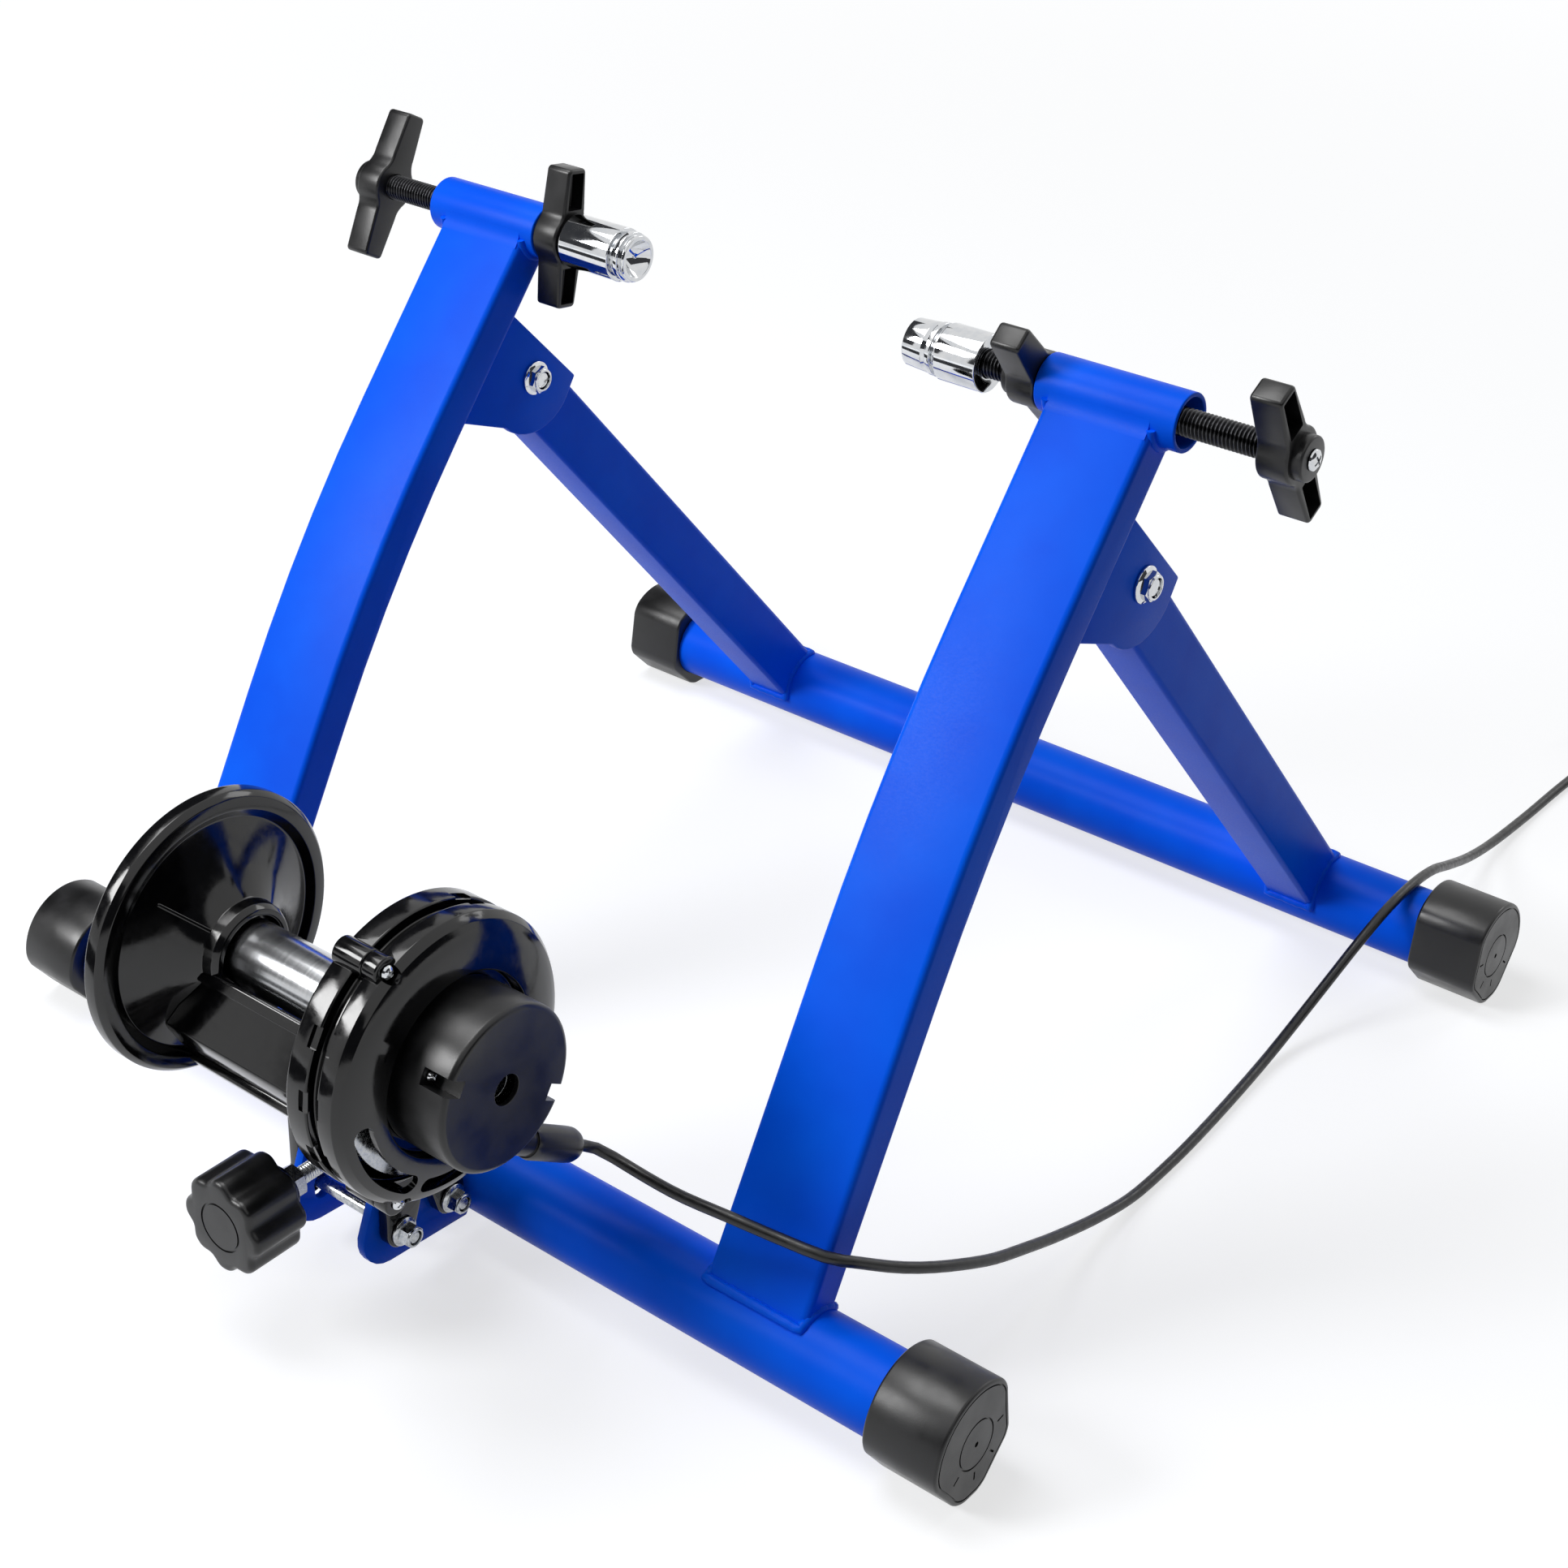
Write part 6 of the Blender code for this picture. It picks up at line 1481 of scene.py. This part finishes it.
def magnets():
    bore = SHAFT_R + 1.2 * MM
    profile = [(10.0 * MM, 95.0 * MM), (10.0 * MM, 89.0 * MM), (24.0 * MM, 89.0 * MM),
               (22.4 * MM, 87.0 * MM), (22.4 * MM, 83.0 * MM), (24.0 * MM, 81.0 * MM),
               (10.0 * MM, 81.0 * MM), (10.0 * MM, 66.6 * MM), (50.0 * MM, 66.6 * MM),
               (50.0 * MM, 64.6 * MM), (bore, 64.6 * MM), (bore, 95.0 * MM)]
    dress(turned("carrier_plate", profile, UNIT_AXIS, AXIS_X, ease=0.2 * MM), "magnet_carrier")
    for node, low, high in (("magnet_ring", 61.0, 64.3), ("fixed_magnet_ring", 47.5, 56.4)):
        ring = ring_profile(47.0 * MM, 33.0 * MM, low * MM, high * MM)
        dress(turned(node + "_stack", ring, UNIT_AXIS, AXIS_X), node)


# Cable, and the shifter at its end

def cable_and_shifter():
    points = smooth(cable_points(), 8 * MM)[:-1] + coil_points()
    line = tube("steel_cable_sheath", points, CABLE_R, False, 6)
    line.data.materials.append(FINISHES["black_rubber"])
    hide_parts("brake_cable", "brake_cable_coil")
    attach(line, "frame")
    pieces = shifter()


def shifter():
    end = coil_points()[-1]
    x, y, z = place = (end.x, end.y + 19.5 * MM, SHIFTER_R)
    face = -SHIFTER_HALF
    body = turned("shifter_case", rod_profile(SHIFTER_R, -SHIFTER_HALF, SHIFTER_HALF), place,
                  AXIS_X, ease=1.6 * MM)
    adjuster = [(0, 15 * MM), (4.4 * MM, 15 * MM), (4.4 * MM, GAP), (0, GAP)]
    join(body, turned("shifter_adjuster", adjuster, tuple(end), AXIS_Y, ease=0.6 * MM))
    hole = rod_profile(2.3 * MM, face - 2 * MM, face + 5 * MM)
    cut(body, turned("lever_axle_hole", hole, place, AXIS_X, ease=0))
    for i in range(14):
        groove = slab("adjuster_groove_%d" % i, rectangle(4.1 * MM, 5.0 * MM, 0.25 * MM), 2.0 * MM,
                      10.0 * MM, (0, 0, 0), AXIS_Y)
        groove.data.transform(Matrix.Translation(end) @ Matrix.Rotation(2 * pi * i / 14, 4, "Y"))
        cut(body, groove)
    dress(body, "shifter_body")
    tilt = radians(125)
    arm = [(-7 * MM, 7.5 * MM), (-7 * MM, -7.5 * MM), (SHIFTER_REACH - 8 * MM, -5 * MM),
           *arc((SHIFTER_REACH - 5 * MM, 0), 5 * MM, -80, 80, 20), (SHIFTER_REACH - 8 * MM, 5 * MM)]
    lever = slab("thumb_lever", rotated(arm, tilt), face - 4.3 * MM, face - GAP, place, AXIS_X,
                 bevel=1.0 * MM)
    hub = rod_profile(11 * MM, face - 5.2 * MM, face - GAP)
    axle = rod_profile(2.0 * MM, face - 2 * MM, face + 4 * MM)
    join(lever, turned("thumb_lever_hub", hub, place, AXIS_X, ease=0.8 * MM),
         turned("thumb_lever_axle", axle, place, AXIS_X, ease=0))
    for i in range(5):
        reach = SHIFTER_REACH - (4.0 + 2.4 * i) * MM
        groove = rotated(rectangle(reach - 0.5 * MM, reach + 0.5 * MM, 4.0 * MM), tilt)
        cut(lever, slab("thumb_groove_%d" % i, groove, face - 6 * MM, face - 3.8 * MM, place,
                        AXIS_X))
    dress(lever, "shifter_lever")
    ring_at = (x + SHIFTER_HALF + GAP + 14.8 * MM, y, z)
    clamp = turned("bar_clamp", ring_profile(15.0 * MM, 11.2 * MM, -5 * MM, 5 * MM), ring_at,
                   AXIS_Y, ease=0.8 * MM)
    join(clamp, slab("bar_clamp_flat", rectangle(-5 * MM, 5 * MM, 6 * MM), SHIFTER_HALF + GAP,
                     SHIFTER_HALF + 3 * MM, place, AXIS_X))
    cut(clamp, slab("bar_clamp_trim", rectangle(-12 * MM, 12 * MM, 12 * MM), SHIFTER_HALF - 3 * MM,
                    SHIFTER_HALF + GAP, place, AXIS_X))
    dress(clamp, "shifter_clamp")
    return [body, lever, clamp]


# Studio: a white floor that keeps the shadows, dark cards to reflect, and three soft lamps

# Cards that glow dark grey by themselves and show only in reflections: painted reflections on the
# chrome and the gloss black
CARDS = {
    "front_card": [(-1.2, -2.7, 0.5), (2.9, -2.7, 0.5), (2.9, -2.7, 2.6), (-1.2, -2.7, 2.6)],
    "right_card": [(2.9, -2.7, 0.3), (2.9, 2.0, 0.3), (2.9, 2.0, 1.8), (2.9, -2.7, 1.8)],
    "left_card": [(-2.6, -3.4, 0.55), (-2.6, 2.4, 0.55), (-2.6, 2.4, 3.4), (-2.6, -3.4, 3.4)],
    "low_card": [(-1.5, -1.35, 0.002), (-0.25, -1.35, 0.002), (-0.25, -0.62, 0.002),
                 (-1.5, -0.62, 0.002)],
}
LAMPS = {                           # place and size in metres, power in watts
    "overhead_softbox": ((-0.7, -0.4, 2.3), 1.2, 25.0),
    "key_softbox": ((-1.5, -2.0, 1.7), 0.9, 46.0),
    "rim_softbox": ((0.6, 2.2, 1.6), 0.8, 6.0),
}
LAMP_TARGET = Vector((0, 0, 0.15))
FLOOR_REACH = 60
CARD_HIDDEN_FROM = ("camera", "diffuse", "transmission", "shadow")


def staged(name, corners, material):
    """A flat four-cornered piece of the studio."""
    mesh = bpy.data.meshes.new(name)
    mesh.from_pydata(corners, [], [(0, 1, 2, 3)])
    mesh.materials.append(material)
    made = bpy.data.objects.new(name, mesh)
    bpy.context.scene.collection.objects.link(made)
    return made


def seen_directly(tree):
    """1 for the camera and for mirror reflections, 0 for the light that falls on the pieces."""
    path = add(tree, "ShaderNodeLightPath")
    return add(tree, "ShaderNodeMath", {"operation": "MAXIMUM"}, (),
               {0: path.outputs["Is Camera Ray"], 1: path.outputs["Is Glossy Ray"]})


def white_paper():
    """Matt white paper. Away from the lamps it glows more by itself, so that it runs on into the
    white behind it."""
    white = bpy.data.materials.new("matt_white_floor")
    white.use_nodes = True
    tree = white.node_tree
    shader = tree.nodes["Principled BSDF"]
    shader.inputs["Base Color"].default_value = linear("b4b6b9")
    shader.inputs["Roughness"].default_value = 0.9
    shader.inputs["Specular IOR Level"].default_value = 0.0
    seen = seen_directly(tree)
    place = add(tree, "ShaderNodeNewGeometry")
    away = add(tree, "ShaderNodeVectorMath", {"operation": "LENGTH"}, (),
               {0: place.outputs["Position"]})
    paper = add(tree, "ShaderNodeMapRange", {"interpolation_type": "SMOOTHSTEP"},
                {"From Min": 0.8, "From Max": 3.6, "To Min": 0.68, "To Max": 0.93},
                {"Value": away.outputs["Value"]})
    level = add(tree, "ShaderNodeMath", {"operation": "MULTIPLY"}, (),
                {0: seen.outputs["Value"], 1: paper.outputs["Result"]})
    glow = add(tree, "ShaderNodeEmission", (), (), {"Strength": level.outputs["Value"]})
    total = add(tree, "ShaderNodeAddShader", (), (), {0: shader.outputs["BSDF"],
                                                      1: glow.outputs["Emission"]})
    tree.links.new(total.outputs["Shader"], tree.nodes["Material Output"].inputs["Surface"])
    return white


def dim_card():
    """Dark grey card that glows evenly by itself: a painted reflection for the chrome and the gloss
    black to mirror.
    """
    card = bpy.data.materials.new("dark_studio_card")
    card.use_nodes = True
    tree = card.node_tree
    dim = add(tree, "ShaderNodeEmission", (), {"Color": linear("404144"), "Strength": 1.0})
    tree.links.new(dim.outputs["Emission"], tree.nodes["Material Output"].inputs["Surface"])
    return card


def white_world():
    world = bpy.data.worlds.new("studio_world")
    world.use_nodes = True
    bpy.context.scene.world = world
    tree = world.node_tree
    back = tree.nodes["Background"]
    back.inputs["Color"].default_value = (1, 1, 1, 1)
    level = add(tree, "ShaderNodeMapRange", (), {"To Min": 0.14, "To Max": 1.0},
                {"Value": seen_directly(tree).outputs["Value"]})
    tree.links.new(level.outputs["Result"], back.inputs["Strength"])


def studio():
    far = FLOOR_REACH
    floor = staged("studio_floor", [(-far, -far, 0), (far, -far, 0), (far, far, 0), (-far, far, 0)],
                   white_paper())
    floor.location.z = -0.1 * MM
    card = dim_card()
    for name, corners in CARDS.items():
        panel = staged(name, corners, card)
        for ray in CARD_HIDDEN_FROM:
            setattr(panel, "visible_" + ray, False)
    white_world()
    for name, (place, size, power) in LAMPS.items():
        data = bpy.data.lights.new(name, "AREA")
        data.size = size
        data.energy = power
        lamp = bpy.data.objects.new(name, data)
        lamp.location = place
        lamp.rotation_euler = (LAMP_TARGET - Vector(place)).to_track_quat("-Z", "Y").to_euler()
        bpy.context.scene.collection.objects.link(lamp)
    bpy.context.scene.view_settings.view_transform = "Standard"


set_camera()
cable_and_shifter()
painted_rails()
for side in (1, -1):
    front_legs(side)
    head_tubes(side)
    pivot_ears(side)
    fold_bolts(side)
    rear_legs(side)
    clamp_rods(side)
    clamp_cups(side)
    clamp_handles(side)
    lock_nuts(side)
    bracket_plates(side)
for end, rail in (("front", FRONT_RAIL), ("rear", REAR_RAIL)):
    for side in (1, -1):
        feet("%s_%s_foot" % (end, side_name(side)), side, rail, mirror=end == "rear")
cross_nut()
spindle_and_collar()
star_knob()
flywheel_drum()
rotor_pieces()
yoke_casting()
unit_bolts("unit_pivot", UNIT_PIVOT)
unit_bolts("unit_guide", UNIT_GUIDE)
brake_shells()
for boss, angle in BOSS_ANGLES.items():
    pan_screw("housing_screw_" + boss, DOME_SEAT + GAP, 14 * MM, round_unit(BOSS_RADIUS, angle))
cable_cap()
boot()
magnets()
studio()
